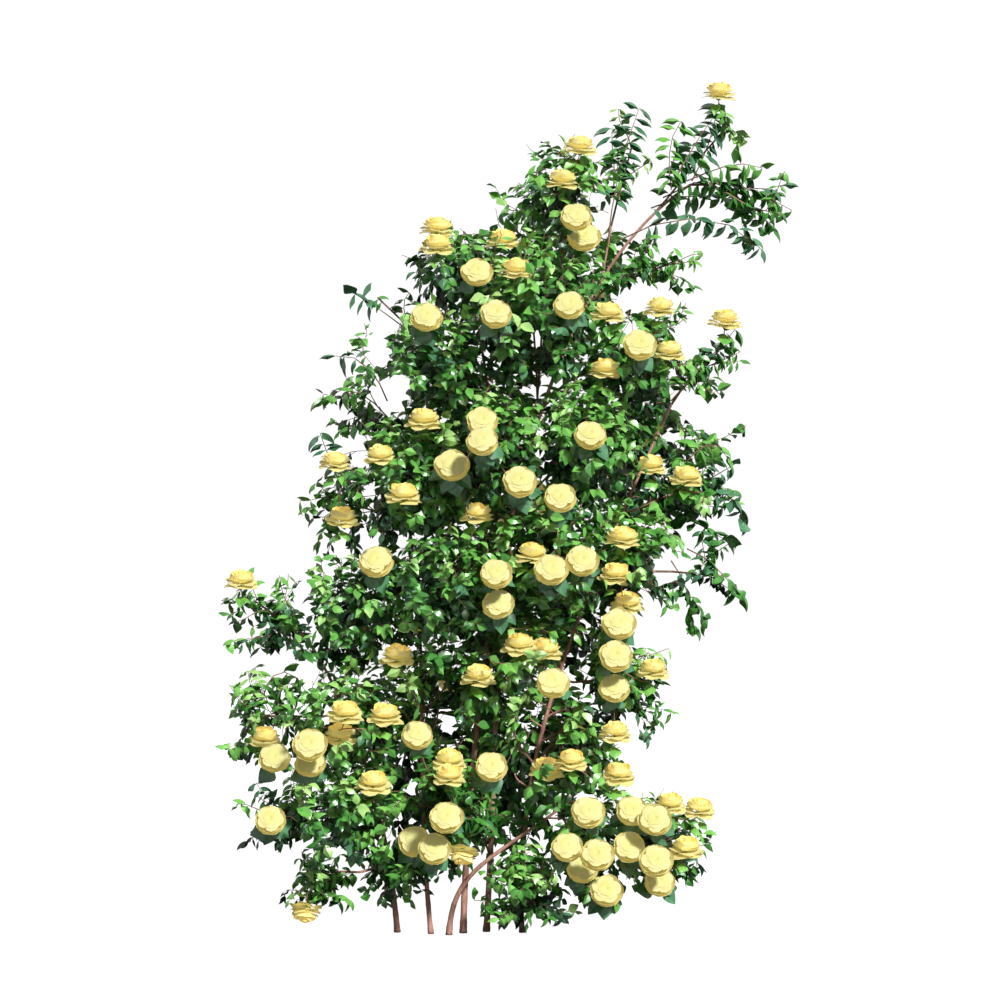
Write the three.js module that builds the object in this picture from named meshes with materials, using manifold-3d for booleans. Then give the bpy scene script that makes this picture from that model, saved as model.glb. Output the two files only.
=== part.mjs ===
// A yellow climbing rose bush in flower: six leaning canes cut flat at ground level, the boughs
// that fork from them, and forty-two masses of leafy twigs that carry the blooms.
// Millimetres, +Z up, origin at the flat cut under the leader cane. -Y is the front.

import * as THREE from "three";
import { mergeVertices } from "three/addons/utils/BufferGeometryUtils.js";
import Module from "manifold-3d";

const wasm = await Module();
wasm.setup();

// ---------- driving dimensions ----------

const CLEARANCE = 0.3; // between a limb and the piece that grows from it
const SPACE_GAP = 5; // between the spaces of two neighbouring masses
const SEED = 732;
const ROOM = 1.2; // how far a mass's space reaches past its half sizes, where no neighbour stops it

// The front elevation of the bush is set out on the upright plane y = 0, as it is seen from here.
const VIEWPOINT = new THREE.Vector3(92, -6500, 1082);

const TAPER = 0.8; // the power by which a limb's radius falls off along it
const CANE = { sides: 8, steps: 11, tip: 3.2, flare: 1.22, flareHeight: 45 };
const BOUGH = { sides: 6, steps: 5, shareOfCane: 0.72, tip: 2.9, lead: 0.34, arrive: 0.3, lift: 0.15 };
const ENTER = 0.82; // how far out in its mass a bough ends, as a share of the way to the skin
const STEM = { sides: 4, steps: 3, shareOfCane: 0.7, most: 4.5, tip: 2.2, lead: 0.25, bend: 0.2, past: 0.35 };
const TWIG = {
  sides: 3,
  root: 2.6,
  tip: 2,
  least: 45, // the shortest twig
  free: 20, // how far from its bud a twig starts to keep clear of others
  crowding: 0.3, // how near to the mass's own leaves and twigs it may come, as a share
  within: 0.7, // how far out in the mass the twigs of a filled mass end
  perSquareMetre: 195,
  buds: [0.45, 0.85],
  leavesAt: 0.62,
};
const LEAF = {
  length: 132,
  width: 94,
  thickness: 2.4,
  widest: 0.45,
  fold: 0.06,
  droop: 0.15,
  least: 0.85, // the shortest, as a share of the longest
  inSpray: 0.76, // the leaves of an open mass, as a share of a dense one's
  tries: 8,
  room: 0.28, // what a leaf keeps clear, as a share of its width
};
// how far a leaf turns away from the line of what bears it
const SPREAD = { tip: 0.2, core: 0.35, stem: 0.65, side: 0.7, bloom: 0.8 };
const CORE = { share: 0.5, around: 6, rings: 4, gap: 1.5, leavesPerSquareMetre: 31, behind: 0.55, sunk: 0.66 };
const BLOOM = {
  radius: 42,
  height: 46,
  sides: 6,
  rim: 0.36, // the height of the widest ring
  crown: 0.66, // the width of the top ring
  hollow: 0.8, // the height of the hollow in the top
  middle: 0.45, // the height of its middle
  spacing: 88,
  clearOfLimbs: 4,
  stalk: 34,
  nod: -0.3, // how far back a stalk may bend
  backs: 14,
  step: 12, // the depths that are tried for its place
  tries: 24,
};
// how the blooms at the back are strewn: the widths across and up, and the share that face out
const STREWN = { across: 1.6, up: 1.5, facingOut: 0.6 };

// foot, two guide points and tip of each cane, with its radius at the ground
const CANES = {
  leader: { radius: 8.5, guides: [[0, 0, 0], [20, 0, 700], [150, 60, 1600], [567, 0, 1870]] },
  high: { radius: 8, guides: [[58, 20, 0], [90, 30, 600], [110, -40, 1150], [30, -60, 1560]] },
  right: { radius: 6.8, guides: [[147, 5, 0], [130, -60, 420], [230, -60, 700], [520, 0, 1320]] },
  left: { radius: 6.5, guides: [[-80, -15, 0], [-130, 0, 450], [-60, 60, 900], [-200, 20, 1240]] },
  low_left: { radius: 7.5, guides: [[-165, 10, 0], [-185, 0, 250], [-250, -20, 520], [-385, -20, 730]] },
  low_right: { radius: 7.5, guides: [[-35, -30, 0], [-25, -70, 170], [60, -120, 190], [262, -70, 335]] },
};

// Each mass of foliage: centre on the elevation (x, z) and its depth y, half sizes, and the cane
// that it grows from, with how far up. at: 1 is the cane's tip. A mass with a bough stands off.
const MASSES = {
  arch_right: { centre: [705, -20, 1815], half: [150, 120, 125], cane: "leader", at: 1 },
  high_right: { centre: [625, 20, 1975], half: [112, 115, 150], cane: "leader", at: 0.93, bough: true },
  upright: { centre: [405, 0, 1902], half: [62, 90, 168], cane: "leader", at: 0.82, bough: true },
  droop_right: { centre: [480, -60, 1655], half: [128, 115, 92], cane: "leader", at: 0.8 },
  crown_top: {
    centre: [258, -50, 1850], half: [146, 190, 142],
    cane: "leader", at: 0.7, bough: true, dense: true,
  },
  front_crown: { centre: [170, -150, 1557], half: [172, 205, 160], cane: "leader", at: 0.62, dense: true },
  front_high_right: {
    centre: [425, -110, 1450], half: [150, 190, 138],
    cane: "leader", at: 0.66, dense: true,
  },
  front_right: { centre: [305, -150, 1225], half: [158, 195, 150], cane: "leader", at: 0.5, dense: true },
  heart_right: { centre: [220, -170, 965], half: [162, 210, 145], cane: "high", at: 0.5, dense: true },
  top_left: { centre: [-10, -60, 1660], half: [150, 180, 130], cane: "high", at: 1, dense: true },
  arm_high_left: { centre: [-185, -30, 1560], half: [105, 115, 88], cane: "high", at: 0.84, bough: true },
  front_high_left: {
    centre: [-80, -130, 1430], half: [172, 190, 150],
    cane: "high", at: 0.74, dense: true,
  },
  front_centre: { centre: [75, -165, 1208], half: [165, 205, 155], cane: "high", at: 0.62, dense: true },
  heart_left: { centre: [-18, -165, 890], half: [165, 210, 142], cane: "high", at: 0.45, dense: true },
  base_centre: { centre: [-38, -110, 322], half: [155, 180, 160], cane: "high", at: 0.12 },
  shoulder_right: { centre: [608, 10, 1420], half: [92, 135, 135], cane: "right", at: 1 },
  side_right: {
    centre: [565, 0, 1112], half: [142, 190, 145],
    cane: "right", at: 0.78, bough: true, dense: true,
  },
  hanging_right: { centre: [598, -30, 895], half: [118, 140, 150], cane: "right", at: 0.68, bough: true },
  right_low: { centre: [428, -90, 930], half: [132, 175, 148], cane: "right", at: 0.66, dense: true },
  right_column: { centre: [395, -90, 630], half: [114, 175, 185], cane: "right", at: 0.46, bough: true },
  low_middle: { centre: [232, -110, 482], half: [158, 180, 212], cane: "right", at: 0.28, dense: true },
  foot_right: { centre: [165, -110, 125], half: [98, 115, 108], cane: "right", at: 0.07 },
  shoulder_left: { centre: [-262, 20, 1318], half: [115, 130, 124], cane: "left", at: 1 },
  side_left: {
    centre: [-292, -20, 1075], half: [112, 150, 150],
    cane: "left", at: 0.82, bough: true, dense: true,
  },
  front_left: { centre: [-140, -140, 1130], half: [160, 190, 168], cane: "left", at: 0.76, dense: true },
  left_low: { centre: [-262, -60, 812], half: [178, 190, 172], cane: "left", at: 0.5, dense: true },
  low_centre: { centre: [-20, -100, 640], half: [148, 180, 118], cane: "left", at: 0.4, dense: true },
  arm_left_upper: { centre: [-475, -20, 795], half: [135, 125, 138], cane: "low_left", at: 1 },
  arm_left_lower: {
    centre: [-500, -20, 540], half: [125, 125, 132],
    cane: "low_left", at: 0.72, bough: true,
  },
  low_left: { centre: [-300, -80, 545], half: [160, 190, 135], cane: "low_left", at: 0.56, dense: true },
  low_left_tip: {
    centre: [-450, -40, 300], half: [115, 130, 125],
    cane: "low_left", at: 0.42, bough: true,
  },
  base_left: { centre: [-290, -60, 300], half: [152, 170, 150], cane: "low_left", at: 0.24, dense: true },
  hanging_left: { centre: [-360, -60, 150], half: [95, 95, 125], cane: "low_left", at: 0.2, bough: true },
  low_right_near: {
    centre: [318, -80, 235], half: [122, 170, 138],
    cane: "low_right", at: 0.86, dense: true,
  },
  low_right_far: { centre: [508, -30, 232], half: [130, 150, 122], cane: "low_right", at: 1, dense: true },
  low_heart: { centre: [150, -120, 712], half: [112, 170, 98], cane: "high", at: 0.36, dense: true },
  foot_left: { centre: [-175, -60, 190], half: [105, 125, 88], cane: "left", at: 0.13 },
  back_crown: {
    centre: [200, 175, 1630], half: [250, 175, 230],
    cane: "leader", at: 0.6, back: true, dense: true,
  },
  back_right: {
    centre: [430, 190, 1250], half: [240, 180, 220],
    cane: "leader", at: 0.45, bough: true, back: true, dense: true,
  },
  back_left: {
    centre: [-60, 200, 1260], half: [270, 185, 230],
    cane: "high", at: 0.55, back: true, dense: true,
  },
  back_heart: {
    centre: [130, 225, 880], half: [310, 200, 210],
    cane: "leader", at: 0.28, back: true, dense: true,
  },
  back_low: {
    centre: [0, 200, 470], half: [310, 190, 225],
    cane: "high", at: 0.14, back: true, dense: true,
  },
};

// Places of the blooms on the elevation, (x, z), by the way that they face.
const FACING = {
  out: { tilt: [0, -0.86, 0.5], depth: 0.97 },
  up: { tilt: [0.06, -0.22, 0.97], depth: 0.72 },
  down: { tilt: [-0.1, -0.35, -0.93], depth: 0.6 },
};
const BLOOMS = {
  out: [
    [282, 1790], [302, 1740], [35, 1652], [-92, 1540], [82, 1548], [265, 1570], [442, 1470],
    [48, 1280], [48, 1230], [318, 1245], [-28, 1168], [142, 1128], [242, 1088], [-218, 928],
    [82, 898], [88, 822], [220, 908], [298, 930], [390, 772], [382, 692], [378, 612],
    [225, 625], [-115, 495], [-472, 438], [-382, 470], [-382, 425], [70, 415], [-482, 282],
    [-42, 288], [-122, 228], [-72, 210], [260, 215], [312, 302], [335, 195], [298, 162],
    [415, 215], [422, 305], [480, 282], [482, 180], [492, 128], [358, 105],
  ],
  up: [
    [640, 2102], [292, 1965], [248, 1882], [-65, 1762], [-65, 1720], [100, 1732], [132, 1658],
    [492, 1565], [655, 1532], [515, 1455], [355, 1410], [362, 1550], [-98, 1282], [-320, 1178],
    [-208, 1195], [-302, 1038], [-150, 1095], [35, 1050], [558, 1140], [468, 1170], [398, 988],
    [382, 898], [410, 825], [-555, 882], [142, 720], [205, 708], [38, 642], [475, 660],
    [-165, 692], [-295, 550], [-195, 545], [-308, 495], [-495, 488], [380, 502], [270, 432],
    [210, 410], [388, 398], [-35, 432], [-35, 395], [-225, 375], [518, 325], [590, 312],
    [558, 212], [172, 948],
  ],
  down: [[-395, 52], [-2, 195]],
};

const LOOKS = {
  bark: { color: 0x9c6a5b, roughness: 0.75, metalness: 0 },
  foliage: { color: 0x3f7a2e, roughness: 0.5, metalness: 0 },
};

// ---------- small tools ----------

const UP = new THREE.Vector3(0, 0, 1);
const vector = (xyz) => new THREE.Vector3(...xyz);
const mix = (a, b, t) => a.clone().lerp(b, t);
const mixed = THREE.MathUtils.lerp;
const along = (from, direction, distance) => from.clone().addScaledVector(direction, distance);

// A 32-bit generator, so that the same seed always grows the same bush.
function seededRandom(seed) {
  let state = seed >>> 0;
  return () => {
    state = (state + 0x6d2b79f5) >>> 0;
    let t = state;
    t = Math.imul(t ^ (t >>> 15), t | 1);
    t ^= t + Math.imul(t ^ (t >>> 7), t | 61);
    return ((t ^ (t >>> 14)) >>> 0) / 4294967296;
  };
}

// Slides a place on the elevation along the line of sight to the depth y.
function placedAt([x, y, z]) {
  const share = y / VIEWPOINT.y;
  return new THREE.Vector3(x + (VIEWPOINT.x - x) * share, y, z + (VIEWPOINT.z - z) * share);
}

// Point number k of an even sequence that fills a unit ball, a little closer near its skin.
function ballPoint(k, offset) {
  const G = 1.2207440846;
  const [u, v, w] = [1, 2, 3].map((power) => (offset + (k + 1) / G ** power) % 1);
  const height = 1 - 2 * u;
  const ring = Math.sqrt(1 - height * height);
  const turn = 2 * Math.PI * v;
  return new THREE.Vector3(ring * Math.cos(turn), ring * Math.sin(turn), height).multiplyScalar(w ** 0.4);
}

function distanceToSegment(point, a, b) {
  const edge = b.clone().sub(a);
  const share = THREE.MathUtils.clamp(point.clone().sub(a).dot(edge) / edge.lengthSq(), 0, 1);
  return point.distanceTo(along(a, edge, share));
}

function solidOf(geometry) {
  geometry.deleteAttribute("normal");
  geometry.deleteAttribute("uv");
  const merged = mergeVertices(geometry, 1e-3);
  return new wasm.Manifold(
    new wasm.Mesh({
      numProp: 3,
      vertProperties: merged.attributes.position.array,
      triVerts: new Uint32Array(merged.index.array),
    }),
  );
}

function geometryOf(solid) {
  const mesh = solid.getMesh();
  const geometry = new THREE.BufferGeometry();
  geometry.setAttribute("position", new THREE.BufferAttribute(mesh.vertProperties, mesh.numProp));
  geometry.setIndex(new THREE.BufferAttribute(mesh.triVerts, 1));
  return geometry;
}

const largestBody = (solid) =>
  solid.decompose().reduce((best, body) => (body.volume() > best.volume() ? body : best));

// One body with no sealed hollow and no loose scrap, also after its corners are rounded.
function soundBody(solid) {
  let body = largestBody(solid);
  for (let bodies = [body, body]; bodies.length > 1; ) {
    body = solidOf(geometryOf(body));
    bodies = body.decompose();
    body = largestBody(body);
  }
  return body;
}

// Cuts a solid clear of every limb that runs into it.
function cutClear(solid, fatLimbs) {
  return fatLimbs.reduce(
    (left, fat) => (left.intersect(fat).isEmpty() ? left : soundBody(left.subtract(fat))),
    solid,
  );
}

// ---------- limbs ----------

// A closed tube with its own radius at every step: a cylinder bent along the curve.
// A level foot is cut flat at the height of the curve's start.
function taperedTube(curve, radiusAt, { sides, steps }, levelFoot = false) {
  const tube = new THREE.CylinderGeometry(1, 1, 1, sides, steps);
  const frames = curve.computeFrenetFrames(steps);
  const points = curve.getSpacedPoints(steps);
  const position = tube.attributes.position;
  const v = new THREE.Vector3();
  for (let i = 0; i < position.count; i++) {
    v.fromBufferAttribute(position, i);
    const t = v.y + 0.5;
    const step = Math.round(t * steps);
    const place = along(points[step], frames.binormals[step], v.x * radiusAt(t));
    place.addScaledVector(frames.normals[step], v.z * radiusAt(t));
    if (levelFoot && step === 0) place.z = points[0].z;
    position.setXYZ(i, place.x, place.y, place.z);
  }
  return solidOf(tube);
}

class Limb {
  constructor(name, curve, root, tip, shape, owner = name) {
    Object.assign(this, { name, curve, root, tip, shape, owner });
    this.points = curve.getSpacedPoints((shape.steps ?? 1) * 2);
    this.flare = 1;
  }

  radiusAt(t) {
    const height = t * this.curve.getLength();
    const flare = 1 + (this.flare - 1) * Math.max(0, 1 - height / CANE.flareHeight) ** 2;
    return mixed(this.root, this.tip, t ** TAPER) * flare;
  }

  solid(extra = 0) {
    return taperedTube(this.curve, (t) => this.radiusAt(t) + extra, this.shape, this.flare > 1);
  }

  touches(point, reach) {
    const last = this.points.length - 1;
    return this.points.some(
      (p, i) => i < last && distanceToSegment(point, p, this.points[i + 1]) < reach + this.radiusAt(i / last),
    );
  }
}

function growCane(name, { radius, guides }) {
  const curve = new THREE.CubicBezierCurve3(...guides.map(vector));
  const cane = new Limb("cane_" + name, curve, radius, CANE.tip, CANE);
  cane.flare = CANE.flare;
  return cane;
}

// Leaves the cane at a narrow angle, swings out, and ends where it enters the mass.
function growBough(name, mass, cane) {
  const start = cane.curve.getPointAt(mass.at);
  const heading = cane.curve.getTangentAt(mass.at);
  const end = mass.edgeToward(start, ENTER);
  const reach = start.distanceTo(end);
  const arrival = mass.centre.clone().sub(start).normalize().addScaledVector(UP, BOUGH.lift).normalize();
  const curve = new THREE.CubicBezierCurve3(
    start,
    along(start, heading, reach * BOUGH.lead),
    along(end, arrival, -reach * BOUGH.arrive),
    end,
  );
  const root = cane.radiusAt(mass.at) * BOUGH.shareOfCane;
  return new Limb(name, curve, root, Math.min(BOUGH.tip, root), BOUGH);
}

// ---------- the masses' spaces ----------

class Mass {
  constructor(name, { centre, half, cane, at, back = false, bough = false, dense = false }, index) {
    Object.assign(this, { name, cane, at, back, bough, dense, index });
    this.centre = placedAt(centre);
    this.half = vector(half).multiplyScalar(ROOM);
    this.elevation = centre;
    this.walls = [];
    this.blooms = [];
  }

  radiusToward(direction) {
    return 1 / direction.clone().divide(this.half).length();
  }

  edgeToward(point, share) {
    const direction = point.clone().sub(this.centre).normalize();
    return along(this.centre, direction, this.radiusToward(direction) * share);
  }

  // The space ends at a flat wall against each neighbour, placed by the two radii.
  wallAgainst(other) {
    const normal = other.centre.clone().sub(this.centre);
    const distance = normal.length();
    normal.normalize();
    const mine = this.radiusToward(normal);
    const theirs = other.radiusToward(normal);
    const position = (distance * mine) / (mine + theirs) - SPACE_GAP / 2;
    this.walls.push({ normal, position });
  }

  holds(point, margin = 0) {
    const offset = point.clone().sub(this.centre);
    if (offset.clone().divide(this.half).length() > 1) return false;
    if (point.z < margin + 2) return false;
    return this.walls.every(({ normal, position }) => offset.dot(normal) < position - margin);
  }

  // What others keep clear of: the room that this mass's core takes up.
  coreRoom() {
    const touches = (point, reach) => {
      const room = this.half.clone().multiplyScalar(CORE.share).addScalar(reach);
      return point.clone().sub(this.centre).divide(room).length() < 1;
    };
    return { owner: this.name, touches };
  }

  share(x, z) {
    const [cx, , cz] = this.elevation;
    return Math.hypot((x - cx) / this.half.x, (z - cz) / this.half.z);
  }
}

// ---------- twigs, leaves and blooms ----------

// A closed skin over a row of rings, each a list of points in order round the way; the first and
// last rings are single points. Rings of unlike counts are zipped together.
function loft(rings) {
  const positions = [];
  const starts = rings.map((ring) => positions.push(...ring) - ring.length);
  const faces = [];
  for (let r = 1; r < rings.length; r++) {
    const [n, m] = [rings[r - 1].length, rings[r].length];
    const lower = (i) => starts[r - 1] + (i % n);
    const upper = (j) => starts[r] + (j % m);
    for (let i = 0, j = 0; i < n || j < m; ) {
      const stepUp = n === 1 || (m > 1 && (j + 1) / m <= (i + 1) / n && j < m);
      if (stepUp) faces.push(lower(i), upper(j + 1), upper(j++));
      else faces.push(lower(i), lower(++i), upper(j));
      if ((n === 1 && j === m) || (m === 1 && i === n)) break;
    }
  }
  const geometry = new THREE.BufferGeometry().setFromPoints(positions);
  geometry.setIndex(faces);
  return solidOf(geometry);
}

// A ring of points square to an axis; side is where its first point lies.
function ring(centre, axis, side, radius, count) {
  return Array.from({ length: count }, (_, i) =>
    along(centre, side.clone().applyAxisAngle(axis, (2 * Math.PI * i) / count), radius),
  );
}

// The two rings of a slim twig, after its pointed root on the middle line of what bears it.
function twigRings(line, side) {
  const axis = line.getTangentAt(0);
  const across = side.clone().addScaledVector(axis, -side.dot(axis)).normalize();
  const shoulder = along(line.v1, axis, TWIG.root * 2);
  return [
    [line.v1],
    ring(shoulder, axis, across, TWIG.root, TWIG.sides),
    ring(line.v2, axis, across, TWIG.tip, TWIG.sides),
  ];
}

// The widest section of a leaf blade, a low ridge between its two edges, and its drooping tip.
function leafRings({ base, direction, normal, length }) {
  const side = new THREE.Vector3().crossVectors(direction, normal);
  const half = (LEAF.width / LEAF.length / 2) * length;
  const middle = along(base, direction, LEAF.widest * length);
  const rib = along(middle, normal, LEAF.thickness);
  const right = along(middle, side, half).addScaledVector(normal, -LEAF.fold * length);
  const left = along(middle, side, -half).addScaledVector(normal, -LEAF.fold * length);
  const tip = along(base, direction, length).addScaledVector(normal, -LEAF.droop * length);
  return [[rib, right, left], [tip]];
}

const leafSolid = (leaf) => loft([[leaf.base], ...leafRings(leaf)]);
const leafyTwigSolid = (line, leaf) => loft([...twigRings(line, leaf.normal), ...leafRings(leaf)]);

// A saucer of outer petals under a cupped rosette, on its twig.
function bloomSolid(line, { place, axis }) {
  const { radius, height, sides } = BLOOM;
  const side = new THREE.Vector3().crossVectors(axis, line.getTangentAt(0).cross(UP)).normalize();
  return loft([
    ...twigRings(line, side),
    ring(along(place, axis, height * BLOOM.rim), axis, side, radius, sides),
    ring(along(place, axis, height), axis, side, radius * BLOOM.crown, sides),
    [along(place, axis, height * BLOOM.hollow)],
  ]);
}

// The core of a dense mass, which its leaves stand out of: a smaller copy of the mass's space,
// cut clear of every limb that runs by.
function coreSolid(mass, limbs) {
  const core = new THREE.SphereGeometry(CORE.share, CORE.around, CORE.rings);
  core.rotateX(Math.PI / 2);
  core.scale(mass.half.x, mass.half.y, mass.half.z);
  core.translate(mass.centre.x, mass.centre.y, mass.centre.z);
  let solid = solidOf(core);
  for (const limb of limbs) {
    const fat = limb.solid(CORE.gap);
    if (!solid.intersect(fat).isEmpty()) solid = largestBody(solid.subtract(fat));
  }
  return solid;
}

// ---------- the growth of one mass ----------

class Growth {
  constructor(mass, stem, obstacles) {
    Object.assign(this, { mass, stem, obstacles });
    this.random = seededRandom(SEED + mass.index * 97);
    const passing = obstacles.filter((o) => o.solid && o.owner !== mass.name);
    this.pieces = mass.dense ? [stem.solid(), coreSolid(mass, passing)] : [stem.solid()];
    this.leafLength = LEAF.length * (mass.dense ? 1 : LEAF.inSpray);
    this.own = [];
    const count = stem.shape.steps;
    const places = stem.curve.getSpacedPoints(count);
    this.buds = places.slice(1).map((place, i) => ({
      place: mix(place, places[i], 0.1),
      heading: stem.curve.getTangentAt((i + 1) / count),
    }));
  }

  // The buds that a twig to this place may grow from, the nearest first. A bud that would have to
  // turn back on itself counts as further off.
  budsNear(target) {
    const cost = new Map();
    for (const bud of this.buds) {
      const way = target.clone().sub(bud.place);
      const distance = way.length();
      const ahead = way.divideScalar(distance).dot(bud.heading);
      if (distance > TWIG.least) cost.set(bud, distance * (1.5 - 0.5 * ahead));
    }
    return [...cost.keys()].sort((one, other) => cost.get(one) - cost.get(other));
  }

  // Whether points keep this far from all that isn't this mass's own, and from its own blooms,
  // and a little off its own leaves and twigs.
  isClear(points, reach, but) {
    const hits = (o, far) => points.some((p) => o.touches(p, far));
    const foreign = this.obstacles.filter((o) => o !== but && (o.owner !== this.mass.name || o.isBloom));
    return !foreign.some((o) => hits(o, reach)) && !this.own.some((o) => hits(o, reach * TWIG.crowding));
  }

  keepTwig(line, solid) {
    this.pieces.push(solid);
    for (const t of TWIG.buds) this.buds.push({ place: line.getPointAt(t), heading: line.getTangentAt(0) });
    this.own.push({ touches: (p, reach) => distanceToSegment(p, line.v1, line.v2) < reach + TWIG.root });
  }

  // A leaf leaves its twig sideways and outwards, with its upper face to the light. It turns
  // about the twig until it has room, and is left out where it finds none.
  findLeaf(base, heading, firstTurn, spread) {
    const outward = base.clone().sub(this.mass.centre).divide(this.mass.half).normalize();
    for (let k = 0; k < LEAF.tries; k++) {
      const turn = firstTurn + (k * 2 * Math.PI) / LEAF.tries;
      const across = new THREE.Vector3().crossVectors(heading, UP).normalize().applyAxisAngle(heading, turn);
      const direction = heading.clone().multiplyScalar(1 - spread);
      direction.addScaledVector(across, spread).addScaledVector(outward, 0.25).normalize();
      const normal = UP.clone().multiplyScalar(0.6).addScaledVector(outward, 1);
      normal.addScaledVector(direction, -normal.dot(direction)).normalize();
      const leaf = { base, direction, normal, length: this.leafLength * mixed(LEAF.least, 1, this.random()) };
      if (this.leafFits(leaf)) return leaf;
    }
    return undefined;
  }

  leafFits(leaf) {
    const [[rib, right, left], [tip]] = leafRings(leaf);
    if (![left, right, tip, rib].every((p) => this.mass.holds(p, LEAF.thickness))) return false;
    const face = [left, right, tip, rib, mix(left, tip, 0.5), mix(right, tip, 0.5), mix(rib, tip, 0.5)];
    return this.isClear(face, LEAF.width * LEAF.room) && this.isClear([mix(leaf.base, rib, 0.5)], 6);
  }

  keepLeaf(leaf) {
    const [[rib], [tip]] = leafRings(leaf);
    const places = [rib, mix(rib, tip, 0.6)];
    const room = LEAF.width * LEAF.room;
    this.own.push({ touches: (p, reach) => places.some((r) => r.distanceTo(p) < reach + room) });
  }

  addLeaf(base, heading, turn, spread) {
    const leaf = this.findLeaf(base, heading, turn, spread);
    if (!leaf) return;
    this.pieces.push(leafSolid(leaf));
    this.keepLeaf(leaf);
  }

  growToBloom(bloom) {
    for (const bud of this.budsNear(bloom.place)) {
      const line = new THREE.LineCurve3(bud.place, bloom.place);
      if (line.getTangentAt(0).dot(bloom.axis) < BLOOM.nod) continue;
      const free = line.getPoints(10).filter((p) => p.distanceTo(bud.place) > TWIG.free);
      if (!this.isClear(free, TWIG.root + 2, bloom)) continue;
      this.keepTwig(line, bloomSolid(line, bloom));
      this.buds.pop();
      bloom.twig = line;
      return new Limb("", line, TWIG.root, TWIG.tip, TWIG, this.mass.name);
    }
    return undefined;
  }

  growUnderBlooms() {
    for (const { twig } of this.mass.blooms.filter((bloom) => bloom.twig)) {
      const at = 1 - Math.min(0.6, BLOOM.stalk / twig.getLength());
      this.addLeaf(twig.getPointAt(at), twig.getTangentAt(0), this.random() * 2 * Math.PI, SPREAD.bloom);
    }
  }

  growToFill() {
    const { mass } = this;
    const size = (mass.half.x * mass.half.y * mass.half.z) ** (1 / 3);
    const count = Math.round((size / 1000) ** 2 * TWIG.perSquareMetre);
    const offset = this.random();
    for (let k = 0, grown = 0; k < count * 6 && grown < count; k++) {
      const target = ballPoint(k, offset).multiply(mass.half).multiplyScalar(TWIG.within).add(mass.centre);
      const turn = this.random() * 2 * Math.PI;
      const [bud] = this.budsNear(target);
      const line = new THREE.LineCurve3(bud.place, target);
      const free = line.getPoints(8).filter((p) => p.distanceTo(bud.place) > TWIG.free);
      if (!free.every((p) => mass.holds(p, TWIG.root)) || !this.isClear(free, TWIG.root + 2)) continue;
      const heading = line.getTangentAt(0);
      const leaf = this.findLeaf(line.v2, heading, turn, SPREAD.tip);
      if (!leaf) continue;
      grown++;
      this.keepTwig(line, leafyTwigSolid(line, leaf));
      this.keepLeaf(leaf);
      const place = line.getPointAt(TWIG.leavesAt);
      for (const side of [0, Math.PI]) this.addLeaf(place, heading, turn + side, SPREAD.side);
    }
  }

  // Leaves along the stem, to this side and that.
  growOnStem() {
    const count = this.mass.dense ? 2 : 5;
    for (let k = 0; k < count; k++) {
      const t = 0.3 + (0.68 * k) / (count - 1);
      const place = this.stem.points[Math.round(t * (this.stem.points.length - 1))];
      this.addLeaf(place, this.stem.curve.getTangentAt(t), this.random() + k * Math.PI, SPREAD.stem);
    }
  }

  // Leaves that stand out of the core, spread evenly over it.
  growOnCore() {
    const { centre, half } = this.mass;
    const area = (4 * Math.PI * (half.x * half.y + half.y * half.z + half.z * half.x)) / 3e6;
    const offset = this.random();
    const count = area * CORE.leavesPerSquareMetre * (this.mass.back ? CORE.behind : 1);
    for (let k = 0; k < count; k++) {
      const spot = ballPoint(k, offset).normalize();
      const outward = spot.clone().divide(half).normalize();
      const base = spot.multiply(half).multiplyScalar(CORE.share * CORE.sunk).add(centre);
      const lean = new THREE.Vector3().crossVectors(outward, UP);
      lean.applyAxisAngle(outward, this.random() * 2 * Math.PI);
      const heading = mix(outward, lean, SPREAD.core).normalize();
      this.addLeaf(base, heading, this.random() * 2 * Math.PI, SPREAD.core);
    }
  }

  solid() {
    return soundBody(wasm.Manifold.union(this.pieces));
  }
}

// ---------- the bush ----------

function layOutMasses() {
  const masses = Object.entries(MASSES).map(([name, plan], index) => new Mass(name, plan, index));
  for (const mass of masses) {
    for (const other of masses) if (other !== mass) mass.wallAgainst(other);
  }
  return masses;
}

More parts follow.
